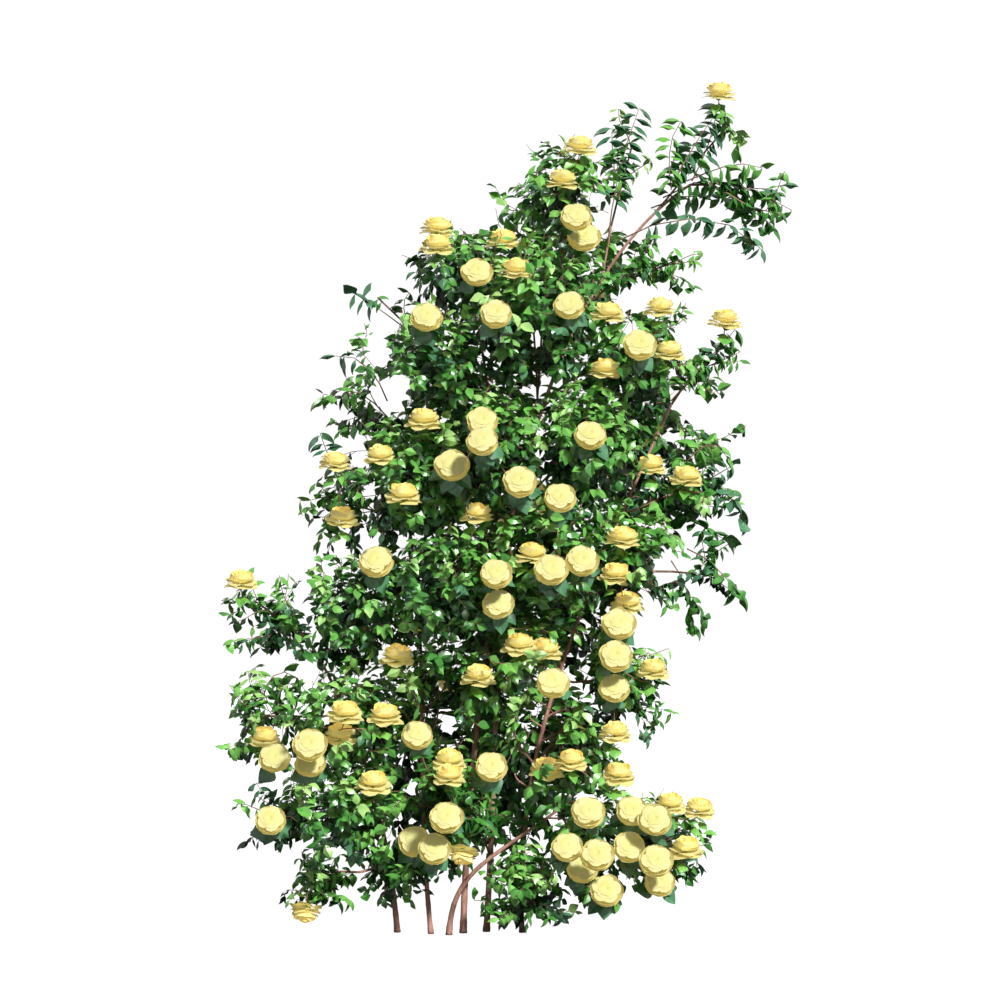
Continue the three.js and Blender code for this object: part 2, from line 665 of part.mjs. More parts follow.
// Gives each bloom to the mass that it shows on, and sets it at that mass's front, or its back
// for the blooms behind, at the nearest depth where it touches no limb and no other bloom.
function setBlooms(masses, limbs, cores) {
  const placed = [];
  const set = (mass, facing, x, z, side) => {
    const { tilt, depth } = FACING[facing];
    const bulge = Math.sqrt(Math.max(0.08, 1 - mass.share(x, z) ** 2));
    const skin = mass.centre.y + side * mass.half.y * bulge * depth;
    const axis = new THREE.Vector3(tilt[0], -side * tilt[1], tilt[2]).normalize();
    for (let k = 0; k < BLOOM.tries; k++) {
      const y = skin + (k % 2 ? 1 : -1) * Math.ceil(k / 2) * BLOOM.step;
      const middle = placedAt([x, y, z]);
      const place = along(middle, axis, -BLOOM.height * BLOOM.middle);
      if (placed.some((other) => other.middle.distanceTo(middle) < BLOOM.spacing)) continue;
      if (limbs.some((limb) => limb.touches(middle, BLOOM.radius + BLOOM.clearOfLimbs))) continue;
      if (cores.some((core) => core.owner !== mass.name && core.touches(middle, BLOOM.radius))) continue;
      const touches = (point, reach) => point.distanceTo(middle) < reach + BLOOM.radius * 1.08;
      const bloom = { place, axis, middle, touches, isBloom: true, owner: mass.name };
      mass.blooms.push(bloom);
      placed.push(bloom);
      return;
    }
  };
  const fronts = masses.filter((mass) => !mass.back);
  for (const [facing, places] of Object.entries(BLOOMS)) {
    for (const [x, z] of places) {
      const mass = fronts.reduce((best, m) => (m.share(x, z) < best.share(x, z) ? m : best));
      set(mass, facing, x, z, -1);
    }
  }
  const random = seededRandom(SEED);
  const backs = masses.filter((mass) => mass.back);
  for (let k = 0; k < BLOOM.backs; k++) {
    const mass = backs[k % backs.length];
    const [cx, , cz] = mass.elevation;
    const x = cx + (random() - 0.5) * STREWN.across * mass.half.x;
    const z = cz + (random() - 0.5) * STREWN.up * mass.half.z;
    set(mass, random() < STREWN.facingOut ? "out" : "up", x, z, 1);
  }
  return placed;
}

// The stem of a mass, from its bough's tip or its cane to past the middle of the mass.
function growStem(mass, cane, bough) {
  const carrier = bough ?? cane;
  const fromTip = Boolean(bough) || mass.at === 1;
  const at = fromTip ? 1 : mass.at;
  const heading = carrier.curve.getTangentAt(at);
  const start = along(carrier.curve.getPointAt(at), heading, fromTip ? CLEARANCE : 0);
  const inward = mass.centre.clone().sub(start).normalize();
  const end = along(mass.centre, inward, mass.radiusToward(inward) * STEM.past);
  const reach = start.distanceTo(end);
  const curve = new THREE.CubicBezierCurve3(
    start,
    along(start, heading, reach * STEM.lead),
    mix(mass.centre, start, STEM.bend),
    end,
  );
  const root = fromTip ? carrier.tip : Math.min(carrier.radiusAt(at) * STEM.shareOfCane, STEM.most);
  return new Limb(mass.name + "_stem", curve, root, Math.min(STEM.tip, root), STEM, mass.name);
}

function material(look) {
  return new THREE.MeshStandardMaterial(LOOKS[look]);
}

function addNode(group, name, solid, look) {
  const mesh = new THREE.Mesh(geometryOf(solid), material(look));
  mesh.name = name;
  group.add(mesh);
}

function growBush() {
  const bush = new THREE.Group();
  const canes = new Map(Object.entries(CANES).map(([name, plan]) => [name, growCane(name, plan)]));
  const fatCanes = new Map([...canes].map(([name, cane]) => [name, cane.solid(CLEARANCE)]));
  for (const cane of canes.values()) addNode(bush, cane.name, cane.solid(), "bark");

  const masses = layOutMasses();
  const boughs = new Map();
  for (const mass of masses.filter((m) => m.bough)) {
    const bough = growBough("bough_" + mass.name, mass, canes.get(mass.cane));
    boughs.set(mass.name, bough);
    addNode(bush, bough.name, soundBody(bough.solid().subtract(fatCanes.get(mass.cane))), "bark");
  }
  const limbs = [...canes.values(), ...boughs.values()];
  const fatLimbs = limbs.map((limb) => limb.solid(CLEARANCE));
  const cores = masses.filter((mass) => mass.dense).map((mass) => mass.coreRoom());
  const blooms = setBlooms(masses, limbs, cores);
  const stems = masses.map((mass) => growStem(mass, canes.get(mass.cane), boughs.get(mass.name)));
  const obstacles = [...limbs, ...stems, ...blooms, ...cores];
  const growths = masses.map((mass, i) => new Growth(mass, stems[i], obstacles));
  for (const growth of growths) {
    for (const bloom of growth.mass.blooms) {
      const twig = growth.growToBloom(bloom);
      if (twig) obstacles.push(twig);
    }
  }
  for (const growth of growths) {
    const { mass } = growth;
    growth.growUnderBlooms();
    growth.growOnStem();
    if (mass.dense) growth.growOnCore();
    else growth.growToFill();
    addNode(bush, "mass_" + mass.name, cutClear(growth.solid(), fatLimbs), "foliage");
  }
  return bush;
}

export default growBush();
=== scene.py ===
"""A yellow climbing rose bush in flower.

Six leaning canes rise from level cuts in the ground. Boughs fork from them, each mass of foliage
grows from one stem, and its twigs divide towards evenly spread places in the mass's own space.
Leaves stand along the twigs, and the blooms sit on stalks at the skin of the crown.

The plan is in millimetres. The meshes are in metres, +Z up, with the front towards -Y.
"""

from __future__ import annotations

import logging
import math
from collections.abc import Iterable
from dataclasses import dataclass, field
from enum import Enum

import bmesh
import bpy
import numpy as np
from mathutils import Matrix, Vector, noise


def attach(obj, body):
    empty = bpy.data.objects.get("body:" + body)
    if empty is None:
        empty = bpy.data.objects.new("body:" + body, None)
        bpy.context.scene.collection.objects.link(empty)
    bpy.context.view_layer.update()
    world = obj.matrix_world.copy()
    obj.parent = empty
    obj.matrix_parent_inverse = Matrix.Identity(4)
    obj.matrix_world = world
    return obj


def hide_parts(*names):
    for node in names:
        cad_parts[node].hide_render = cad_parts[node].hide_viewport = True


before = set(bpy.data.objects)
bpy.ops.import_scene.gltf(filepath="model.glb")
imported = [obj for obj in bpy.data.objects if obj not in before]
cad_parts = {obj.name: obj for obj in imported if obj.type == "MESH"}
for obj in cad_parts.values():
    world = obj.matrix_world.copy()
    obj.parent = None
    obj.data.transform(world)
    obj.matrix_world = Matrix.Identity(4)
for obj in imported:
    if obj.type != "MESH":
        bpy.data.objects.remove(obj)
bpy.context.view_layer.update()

log = logging.getLogger("rose_bush")

# ---------- driving dimensions, in millimetres ----------

MM = 0.001
SEED = 732
CLEARANCE = 0.3
SPACE_GAP = 5
ROOM = 1.2
VIEWPOINT = np.array([92.0, -6500.0, 1082.0])
VIEW_WIDTH = 2500.0
UP = np.array([0.0, 0.0, 1.0])
BLOOM_RADIUS = 42.0
BLOOM_HEIGHT = 46.0
BLOOM_SPACING = 88.0
BACK_BLOOMS = 14
CORE_SHARE = 0.5
REACH_RIGHT = 842.0
REACH_LEFT = -606.0
DENSE_SPILL = 1.1
DEPTH = np.array([0.0, 1.0, 0.0])
CREASE = math.radians(40)
SUNWARD = (0.42, -0.84, 0.68)


class Zone(Enum):
    """The parts of the crown whose leaves, twigs and blossom are joined apart."""

    CROWN = "crown"
    MIDDLE = "middle"
    FOOT = "foot"
    BACK = "back"


class Facing(Enum):
    """The way that a bloom looks."""

    OUT = "out"
    UP = "up"
    DOWN = "down"


class LeafKind(Enum):
    """The shapes that a leaf may take."""

    ARCHED = 0
    CURLED = 1
    FLAT = 2
    ROUND = 3


class Tone(Enum):
    """The greens dealt out by spray: apart from the bluish one, lit and shaded copies of one green,
    painted light and shade.
    """

    SUN = 0
    DEEP = 1
    BLUE = 2
    YOUNG = 3
    SHADE = 4


@dataclass(frozen=True)
class CanePlan:
    """One cane: its radius at the ground, and its foot, two guide points and tip."""

    name: str
    radius: float
    guides: tuple[tuple[float, float, float], ...]


@dataclass(frozen=True)
class MassPlan:
    """One mass of foliage: its middle, half sizes, cane and the share of the cane where it joins."""

    name: str
    centre: tuple[float, float, float]
    half: tuple[float, float, float]
    cane: str
    at: float
    bough: bool = False
    dense: bool = False
    back: bool = False
    hang: float = 0.3
    full: float = 1.0
    fill: float = 1.0
    airy: bool = False


@dataclass(frozen=True)
class Gap:
    """An opening in the foliage: an ellipse on the front elevation, right through or down to a depth."""

    x: float
    z: float
    half_x: float
    half_z: float
    depth: float = math.inf

    def holds(self, points: np.ndarray) -> np.ndarray:
        """Tells which points lie in the opening.

        Args:
            points: Places in millimetres, one a row.

        Returns:
            A mask, one value a row.
        """
        share = VIEWPOINT[1] / (VIEWPOINT[1] - points[:, 1])
        seen = VIEWPOINT + (points - VIEWPOINT) * share[:, None]
        spread = ((seen[:, 0] - self.x) / self.half_x) ** 2 + ((seen[:, 2] - self.z) / self.half_z) ** 2
        return (spread < 1) & (points[:, 1] < self.depth)


CANES = (
    CanePlan("cane_leader", 8.5, ((0, 0, 0), (20, 0, 700), (150, 60, 1600), (567, 0, 1870))),
    CanePlan("cane_high", 8, ((58, 20, 0), (90, 30, 600), (110, -40, 1150), (30, -60, 1560))),
    CanePlan("cane_right", 6.8, ((147, 5, 0), (130, -60, 420), (230, -60, 700), (520, 0, 1320))),
    CanePlan("cane_left", 6.5, ((-80, -15, 0), (-130, 0, 450), (-60, 60, 900), (-200, 20, 1240))),
    CanePlan("cane_low_left", 7.5, ((-165, 10, 0), (-185, 0, 250), (-250, -20, 520), (-385, -20, 730))),
    CanePlan("cane_low_right", 7.5, ((-35, -30, 0), (-25, -70, 170), (60, -120, 190), (262, -70, 335))),
)

MASSES = (
    MassPlan(
        "arch_right", (705, -20, 1815), (150, 120, 125), "cane_leader", 1,
        hang=0.5, full=1.05, fill=0.16,
    ),
    MassPlan(
        "high_right", (625, 20, 1975), (112, 115, 150), "cane_leader", 0.93, bough=True, fill=0.14
    ),
    MassPlan(
        "upright", (405, 0, 1902), (62, 90, 168), "cane_leader", 0.82,
        bough=True, hang=0.05, full=1.1, fill=0.3,
    ),
    MassPlan(
        "droop_right", (480, -60, 1655), (128, 115, 92), "cane_leader", 0.8,
        hang=0.5, full=0.93, fill=1.1,
    ),
    MassPlan(
        "crown_top", (258, -50, 1850), (146, 190, 142), "cane_leader", 0.7,
        bough=True, dense=True, full=0.86,
    ),
    MassPlan(
        "front_crown", (170, -150, 1557), (172, 205, 160), "cane_leader", 0.62, dense=True, full=1.1
    ),
    MassPlan("front_high_right", (425, -110, 1450), (150, 190, 138), "cane_leader", 0.66, dense=True),
    MassPlan("front_right", (305, -150, 1225), (158, 195, 150), "cane_leader", 0.5, dense=True),
    MassPlan("heart_right", (220, -170, 965), (162, 210, 145), "cane_high", 0.5, dense=True),
    MassPlan("top_left", (-10, -60, 1660), (150, 180, 130), "cane_high", 1, dense=True, full=0.81),
    MassPlan(
        "arm_high_left", (-185, -30, 1560), (105, 115, 88), "cane_high", 0.84, bough=True, full=0.6
    ),
    MassPlan("front_high_left", (-80, -130, 1430), (172, 190, 150), "cane_high", 0.74, dense=True),
    MassPlan("front_centre", (75, -165, 1208), (165, 205, 155), "cane_high", 0.62, dense=True),
    MassPlan("heart_left", (-18, -165, 890), (165, 210, 142), "cane_high", 0.45, dense=True),
    MassPlan("base_centre", (-38, -110, 322), (155, 180, 160), "cane_high", 0.12, fill=1.4),
    MassPlan("shoulder_right", (608, 10, 1420), (92, 135, 135), "cane_right", 1, full=0.9, fill=0.6),
    MassPlan(
        "side_right", (565, 0, 1112), (142, 190, 145), "cane_right", 0.78,
        bough=True, dense=True, airy=True, full=0.77, fill=1.05,
    ),
    MassPlan(
        "hanging_right", (598, -30, 895), (118, 140, 150), "cane_right", 0.68,
        bough=True, hang=0.5, full=0.86, fill=0.4,
    ),
    MassPlan("right_low", (428, -90, 930), (132, 175, 148), "cane_right", 0.66, dense=True),
    MassPlan(
        "right_column", (395, -90, 630), (114, 175, 185), "cane_right", 0.46, bough=True, fill=1.7
    ),
    MassPlan(
        "low_middle", (232, -110, 482), (158, 180, 212), "cane_right", 0.28, dense=True, full=1.08
    ),
    MassPlan("foot_right", (165, -110, 125), (98, 115, 108), "cane_right", 0.07, full=1.24, fill=2.2),
    MassPlan("shoulder_left", (-262, 20, 1318), (115, 130, 124), "cane_left", 1, full=0.8, fill=0.6),
    MassPlan(
        "side_left", (-292, -20, 1075), (112, 150, 150), "cane_left", 0.82,
        bough=True, dense=True, airy=True, full=0.84, fill=1.1,
    ),
    MassPlan("front_left", (-140, -140, 1130), (160, 190, 168), "cane_left", 0.76, dense=True),
    MassPlan("left_low", (-262, -60, 812), (178, 190, 172), "cane_left", 0.5, dense=True),
    MassPlan("low_centre", (-20, -100, 640), (148, 180, 118), "cane_left", 0.4, dense=True),
    MassPlan(
        "arm_left_upper", (-475, -20, 795), (135, 125, 138), "cane_low_left", 1, full=0.97, fill=1.3
    ),
    MassPlan(
        "arm_left_lower", (-500, -20, 540), (125, 125, 132), "cane_low_left", 0.72,
        bough=True, fill=1.4,
    ),
    MassPlan("low_left", (-300, -80, 545), (160, 190, 135), "cane_low_left", 0.56, dense=True),
    MassPlan(
        "low_left_tip", (-450, -40, 300), (115, 130, 125), "cane_low_left", 0.42,
        bough=True, full=0.92, fill=1.6,
    ),
    MassPlan(
        "base_left", (-290, -60, 300), (152, 170, 150), "cane_low_left", 0.24, dense=True, full=1.15
    ),
    MassPlan(
        "hanging_left", (-360, -60, 150), (95, 95, 125), "cane_low_left", 0.2,
        bough=True, hang=0.6, full=1.12, fill=1.6,
    ),
    MassPlan(
        "low_right_near", (318, -80, 235), (122, 170, 138), "cane_low_right", 0.86,
        dense=True, full=1.1,
    ),
    MassPlan(
        "low_right_far", (494, -30, 230), (130, 150, 122), "cane_low_right", 1,
        dense=True, full=0.88,
    ),
    MassPlan("low_heart", (150, -120, 712), (112, 170, 98), "cane_high", 0.36, dense=True, full=1.2),
    MassPlan("foot_left", (-175, -60, 190), (105, 125, 88), "cane_left", 0.13, full=1.2, fill=2.2),
    MassPlan(
        "back_crown", (200, 175, 1630), (250, 175, 230), "cane_leader", 0.6, dense=True, back=True
    ),
    MassPlan(
        "back_right", (430, 190, 1250), (240, 180, 220), "cane_leader", 0.45,
        bough=True, dense=True, back=True,
    ),
    MassPlan("back_left", (-60, 200, 1260), (270, 185, 230), "cane_high", 0.55, dense=True, back=True),
    MassPlan(
        "back_heart", (130, 225, 880), (310, 200, 210), "cane_leader", 0.28, dense=True, back=True
    ),
    MassPlan("back_low", (0, 200, 470), (310, 190, 225), "cane_high", 0.14, dense=True, back=True),
)

# The way that a bloom's axis leans, and how deep it sits, as a share of its mass's bulge.
TILTS = {
    Facing.OUT: ((0, -0.86, 0.5), 0.97),
    Facing.UP: ((0.06, -0.22, 0.97), 0.72),
    Facing.DOWN: ((-0.1, -0.35, -0.93), 0.6),
}

# Where the blooms show on the front elevation.
BLOOMS = {
    Facing.OUT: (
        (282, 1790), (302, 1740), (35, 1652), (-92, 1540), (82, 1548), (265, 1570), (442, 1470),
        (48, 1280), (48, 1230), (318, 1245), (-28, 1168), (142, 1128), (242, 1088), (-218, 928),
        (82, 898), (88, 822), (220, 908), (298, 930), (390, 772), (382, 692), (378, 612),
        (225, 625), (-115, 495), (-472, 438), (-382, 470), (-382, 425), (70, 415), (-482, 282),
        (-42, 288), (-122, 228), (-72, 210), (260, 215), (312, 302), (335, 195), (298, 162),
        (415, 215), (422, 305), (480, 282), (482, 180), (492, 128), (358, 105),
    ),
    Facing.UP: (
        (640, 2102), (292, 1965), (248, 1882), (-65, 1762), (-65, 1720), (100, 1732), (132, 1658),
        (492, 1565), (655, 1532), (515, 1455), (355, 1410), (362, 1550), (-98, 1282), (-320, 1178),
        (-208, 1195), (-302, 1038), (-150, 1095), (35, 1050), (558, 1140), (468, 1170), (398, 988),
        (382, 898), (410, 825), (-555, 882), (142, 720), (205, 708), (38, 642), (475, 660),
        (-165, 692), (-295, 550), (-195, 545), (-308, 495), (-495, 488), (380, 502), (270, 432),
        (210, 410), (388, 398), (-35, 432), (-35, 395), (-225, 375), (518, 325), (590, 312),
        (558, 212), (172, 948),
    ),
    Facing.DOWN: ((-395, 52), (-2, 195)),
}

# How large a bloom of each kind is, from the least to the greatest.
SIZES = {Facing.OUT: (0.84, 0.93), Facing.UP: (0.92, 1.02), Facing.DOWN: (0.9, 1.0)}

# Where the sky shows through the crown.
SKY_GAPS = (
    Gap(445, 1590, 55, 44), Gap(520, 915, 46, 40), Gap(-205, 1350, 44, 42), Gap(-160, 1360, 24, 48),
    Gap(-265, 1213, 22, 42), Gap(-307, 1217, 20, 20), Gap(-392, 658, 22, 20), Gap(-410, 867, 18, 16),
    Gap(-492, 935, 44, 26), Gap(475, 775, 32, 50), Gap(335, 1842, 34, 20), Gap(347, 1785, 14, 34),
    Gap(-40, 521, 24, 28), Gap(-104, 540, 18, 14), Gap(-30, 472, 28, 12), Gap(181, 1487, 22, 20),
    Gap(303, 341, 26, 18), Gap(-255, 1055, 15, 24), Gap(-243, 1103, 15, 24), Gap(-488, 552, 16, 18),
    Gap(-346, 552, 14, 26), Gap(530, 1402, 12, 20), Gap(511, 1243, 12, 24), Gap(-59, 628, 14, 16),
    Gap(229, 291, 20, 14), Gap(447, 833, 20, 24), Gap(427, 1514, 22, 16), Gap(-343, 919, 16, 16),
    Gap(436, 1770, 28, 26), Gap(392, 1796, 26, 34), Gap(652, 1300, 72, 46), Gap(560, 1332, 44, 30),
    Gap(105, 1935, 60, 60), Gap(20, 1818, 60, 62), Gap(-190, 1540, 30, 44), Gap(428, 480, 30, 70),
    Gap(570, 1498, 34, 38), Gap(-222, 1455, 34, 40),
)

# Where no leaf grows before the bare wood.
BARE_WOOD = (
    Gap(140, 400, 34, 64, -30), Gap(185, 505, 52, 70, -30), Gap(222, 612, 34, 56, -30),
    Gap(270, 700, 26, 58, -45), Gap(-60, 560, 40, 60, -20), Gap(181, 1400, 12, 70, -60),
)


@dataclass(frozen=True)
class ShootPlan:
    """A bare side shoot: its cane, the height of its start, how far it goes and its radius."""

    cane: str
    height: float
    run: float
    rise: float
    radius: float = 3.0


SHOOTS = (
    ShootPlan("cane_right", 540, 135, 66, 3.4),
    ShootPlan("cane_right", 478, 66, 52),
    ShootPlan("cane_right", 515, -34, 34),
    ShootPlan("cane_right", 424, -50, 90, 3.2),
    ShootPlan("cane_right", 362, -38, 42),
    ShootPlan("cane_right", 400, 34, 44),
    ShootPlan("cane_right", 590, 20, 110),
    ShootPlan("cane_left", 470, 40, 92, 3.2),
    ShootPlan("cane_left", 500, -44, 60),
    ShootPlan("cane_low_left", 58, -32, 34, 4.0),
)


@dataclass(frozen=True)
class Trail:
    """A long stem hung with leaves: its mass, its depth and its four guide points on the elevation."""

    mass: str
    depth: float
    guides: tuple[tuple[float, float], ...]
    first: float = 0.2
    radius: float = 1.9


TRAILS = (
    Trail("arch_right", -8, ((500, 1838), (590, 1910), (700, 1880), (822, 1806)), 0.05),
    Trail("arch_right", -60, ((385, 1729), (500, 1800), (660, 1815), (742, 1712)), 0.22),
    Trail("arch_right", 40, ((470, 1812), (580, 1870), (690, 1850), (770, 1770)), 0.15),
    Trail("arch_right", -40, ((560, 1880), (620, 1905), (690, 1940), (748, 1912)), 0.3),
    Trail("arch_right", 20, ((600, 1888), (690, 1858), (760, 1850), (812, 1872)), 0.3),
    Trail("high_right", -30, ((520, 1862), (552, 1930), (590, 1990), (622, 2034)), 0.1),
    Trail("high_right", 10, ((572, 1880), (610, 1950), (628, 2010), (638, 2074)), 0.1),
    Trail("high_right", -50, ((520, 1858), (512, 1920), (508, 1985), (545, 2030)), 0.15, 1.6),
    Trail("upright", -10, ((360, 1715), (372, 1840), (396, 1950), (440, 2062)), 0.12),
    Trail("upright", 30, ((376, 1860), (384, 1930), (366, 1975), (372, 2010)), 0.3, 1.8),
    Trail("arm_high_left", -20, ((-120, 1492), (-170, 1530), (-220, 1570), (-272, 1598)), 0.3),
    Trail("shoulder_left", -30, ((-190, 1290), (-240, 1350), (-290, 1380), (-346, 1338)), 0.3),
    Trail("shoulder_left", -50, ((-190, 1330), (-220, 1410), (-260, 1450), (-318, 1442)), 0.35),
    Trail("side_left", -40, ((-250, 1090), (-310, 1150), (-340, 1180), (-358, 1250)), 0.3),
    Trail("side_right", -30, ((560, 1180), (600, 1225), (635, 1240), (655, 1195)), 0.3),
    Trail("side_right", -60, ((580, 1080), (640, 1120), (680, 1100), (706, 1032)), 0.3),
    Trail("side_right", -20, ((480, 1062), (530, 1050), (585, 1030), (650, 985)), 0.05),
    Trail("arm_left_lower", -30, ((-500, 590), (-490, 640), (-460, 670), (-420, 640)), 0.2),
    Trail("foot_right", -60, ((150, 120), (140, 220), (170, 285), (212, 305)), 0.1),
    Trail("foot_right", -40, ((160, 130), (120, 200), (100, 270), (122, 330)), 0.1),
    Trail("hanging_right", -50, ((560, 960), (620, 940), (660, 880), (690, 850)), 0.3),
    Trail("hanging_right", -20, ((520, 930), (560, 880), (570, 820), (574, 768)), 0.3),
    Trail("shoulder_right", -20, ((520, 1330), (580, 1400), (630, 1450), (680, 1508)), 0.35),
)


# ---------- lines and limbs ----------


def unit(v: np.ndarray) -> np.ndarray:
    """Gives vectors the length one."""
    return v / np.maximum(np.linalg.norm(v, axis=-1, keepdims=True), 1e-9)


def placed_at(x: float, y: float, z: float) -> np.ndarray:
    """Slides a place on the front elevation along the line of sight to the depth y."""
    share = y / VIEWPOINT[1]
    return np.array([x + (VIEWPOINT[0] - x) * share, y, z + (VIEWPOINT[2] - z) * share])


def even_points(count: int, offset: float) -> np.ndarray:
    """Spreads points evenly through a unit ball, a little closer near its skin.

    Args:
        count: How many points.
        offset: Where the sequence starts, from 0 to 1.

    Returns:
        The points, one a row.
    """
    ratio = 1.2207440846
    k = np.arange(1, count + 1)
    u, v, w = ((offset + k / ratio**power) % 1 for power in (1, 2, 3))
    height = 1 - 2 * u
    ring = np.sqrt(1 - height**2)
    turn = 2 * math.pi * v
    ball = np.stack([ring * np.cos(turn), ring * np.sin(turn), height], axis=1)
    return ball * (w**0.4)[:, None]


class SeededRandom:
    """A 32-bit generator that sets the blooms at the back always in the same places."""

    MASK = 0xFFFFFFFF
    STEP = 0x6D2B79F5

    def __init__(self, seed: int) -> None:
        """Starts the sequence from a seed."""
        self.state = seed & self.MASK

    def __call__(self) -> float:
        """Gives the next number from 0 to 1."""
        self.state = (self.state + self.STEP) & self.MASK
        t = self.state
        t = ((t ^ (t >> 15)) * (t | 1)) & self.MASK
        t ^= (t + ((t ^ (t >> 7)) * (t | 61))) & self.MASK
        return (t ^ (t >> 14)) / (self.MASK + 1)


class Line:
    """A cubic Bezier line that is read by the share of its length."""

    FINE = 200
    NEAR = 0.005

    def __init__(self, guides: Iterable[Iterable[float]]) -> None:
        """Measures the line through its four guide points."""
        a, b, c, d = (np.asarray(g, float) for g in guides)
        t = np.linspace(0, 1, self.FINE + 1)[:, None]
        self.fine = a * (1 - t) ** 3 + 3 * b * t * (1 - t) ** 2 + 3 * c * t**2 * (1 - t) + d * t**3
        steps = np.linalg.norm(np.diff(self.fine, axis=0), axis=1)
        self.travel = np.concatenate([[0.0], np.cumsum(steps)])
        self.length = float(self.travel[-1])

    def at(self, share: float | np.ndarray) -> np.ndarray:
        """Gives the points at these shares of the length."""
        reach = np.asarray(share) * self.length
        return np.stack([np.interp(reach, self.travel, self.fine[:, i]) for i in range(3)], axis=-1)

    def heading(self, share: float | np.ndarray) -> np.ndarray:
        """Gives the unit directions at these shares of the length."""
        share = np.asarray(share)
        ahead, behind = np.minimum(share + self.NEAR, 1), np.maximum(share - self.NEAR, 0)
        return unit(self.at(ahead) - self.at(behind))


class Limb:
    """One tapering limb on a smooth centre line."""

    TAPER = 0.8

    def __init__(self, name: str, line: Line, root: float, tip: float, steps: int) -> None:
        """Sets out a limb.

        Args:
            name: The name of the node that it stands for.
            line: Its centre line.
            root: Its radius where it starts.
            tip: Its radius where it ends.
            steps: The steps of the node, which set how closely it is followed.
        """
        self.name = name
        self.line = line
        self.root = root
        self.tip = tip
        self.points = line.at(np.linspace(0, 1, 2 * steps + 1))

    def radius_at(self, share: float | np.ndarray) -> float | np.ndarray:
        """Gives the radius at these shares of the length."""
        return self.root + (self.tip - self.root) * np.asarray(share) ** self.TAPER

    def touches(self, point: np.ndarray, reach: float) -> bool:
        """Tells whether a ball of this reach round the point meets the limb."""
        a, b = self.points[:-1], self.points[1:]
        edge = b - a
        share = np.clip(((point - a) * edge).sum(1) / (edge**2).sum(1), 0, 1)
        distance = np.linalg.norm(point - (a + edge * share[:, None]), axis=1)
        return bool((distance < reach + self.radius_at(np.arange(len(a)) / len(a))).any())


# ---------- the masses' spaces and the blooms' places ----------


@dataclass
class Bloom:
    """One bloom: the place of its base, its axis, its middle and the way it faces."""

    place: np.ndarray
    axis: np.ndarray
    middle: np.ndarray
    facing: Facing


class Mass:
    """One mass of foliage and the space that it keeps to."""

    CROWN_FROM = 1350
    MIDDLE_FROM = 750
    LOWEST = 12

    def __init__(self, plan: MassPlan, index: int) -> None:
        """Sets out the space of a mass from its plan."""
        self.plan = plan
        self.index = index
        self.centre = placed_at(*plan.centre)
        self.half = np.array(plan.half, float) * ROOM
        self.walls: list[tuple[np.ndarray, float]] = []
        self.blooms: list[Bloom] = []

    @property
    def zone(self) -> Zone:
        """The part of the crown that the mass belongs to."""
        if self.plan.back:
            return Zone.BACK
        height = self.plan.centre[2]
        if height > self.CROWN_FROM:
            return Zone.CROWN
        return Zone.MIDDLE if height > self.MIDDLE_FROM else Zone.FOOT

    def radius_toward(self, direction: np.ndarray) -> float:
        """Gives the distance from the middle to the skin in a direction."""
        return 1 / float(np.linalg.norm(direction / self.half))

    def wall_against(self, other: Mass) -> None:
        """Ends the space at a flat wall against a neighbour, placed by the two radii."""
        way = other.centre - self.centre
        distance = float(np.linalg.norm(way))
        normal = way / distance
        mine = self.radius_toward(normal)
        theirs = other.radius_toward(normal)
        self.walls.append((normal, distance * mine / (mine + theirs) - SPACE_GAP / 2))

    @property
    def spill(self) -> float:
        """How far the finest twigs reach, as a share of the space's own half sizes."""
        return self.plan.full * (DENSE_SPILL if self.plan.dense else 1.0)

    def holds(self, points: np.ndarray, margin: float = 0.0, past: float = 0.0) -> np.ndarray:
        """Tells which points lie in the space.

        Args:
            points: Places in millimetres, one a row.
            margin: How far inside its walls they must lie.
            past: How far past its skin they may lie.

        Returns:
            A mask, one value a row.
        """
        offset = points - self.centre
        reach = self.half * self.spill + past
        inside = (np.linalg.norm(offset / reach, axis=1) < 1) & (points[:, 2] > self.LOWEST)
        for normal, position in self.walls:
            inside &= offset @ normal < position - margin
        return inside

    def core_touches(self, point: np.ndarray, reach: float) -> bool:
        """Tells whether a ball round the point meets the heart of the mass."""
        return float(np.linalg.norm((point - self.centre) / (self.half * CORE_SHARE + reach))) < 1

    def share(self, x: float, z: float) -> float:
        """Tells how far out a place on the elevation lies, 1 being the skin."""
        cx, _, cz = self.plan.centre
        return math.hypot((x - cx) / self.half[0], (z - cz) / self.half[2])


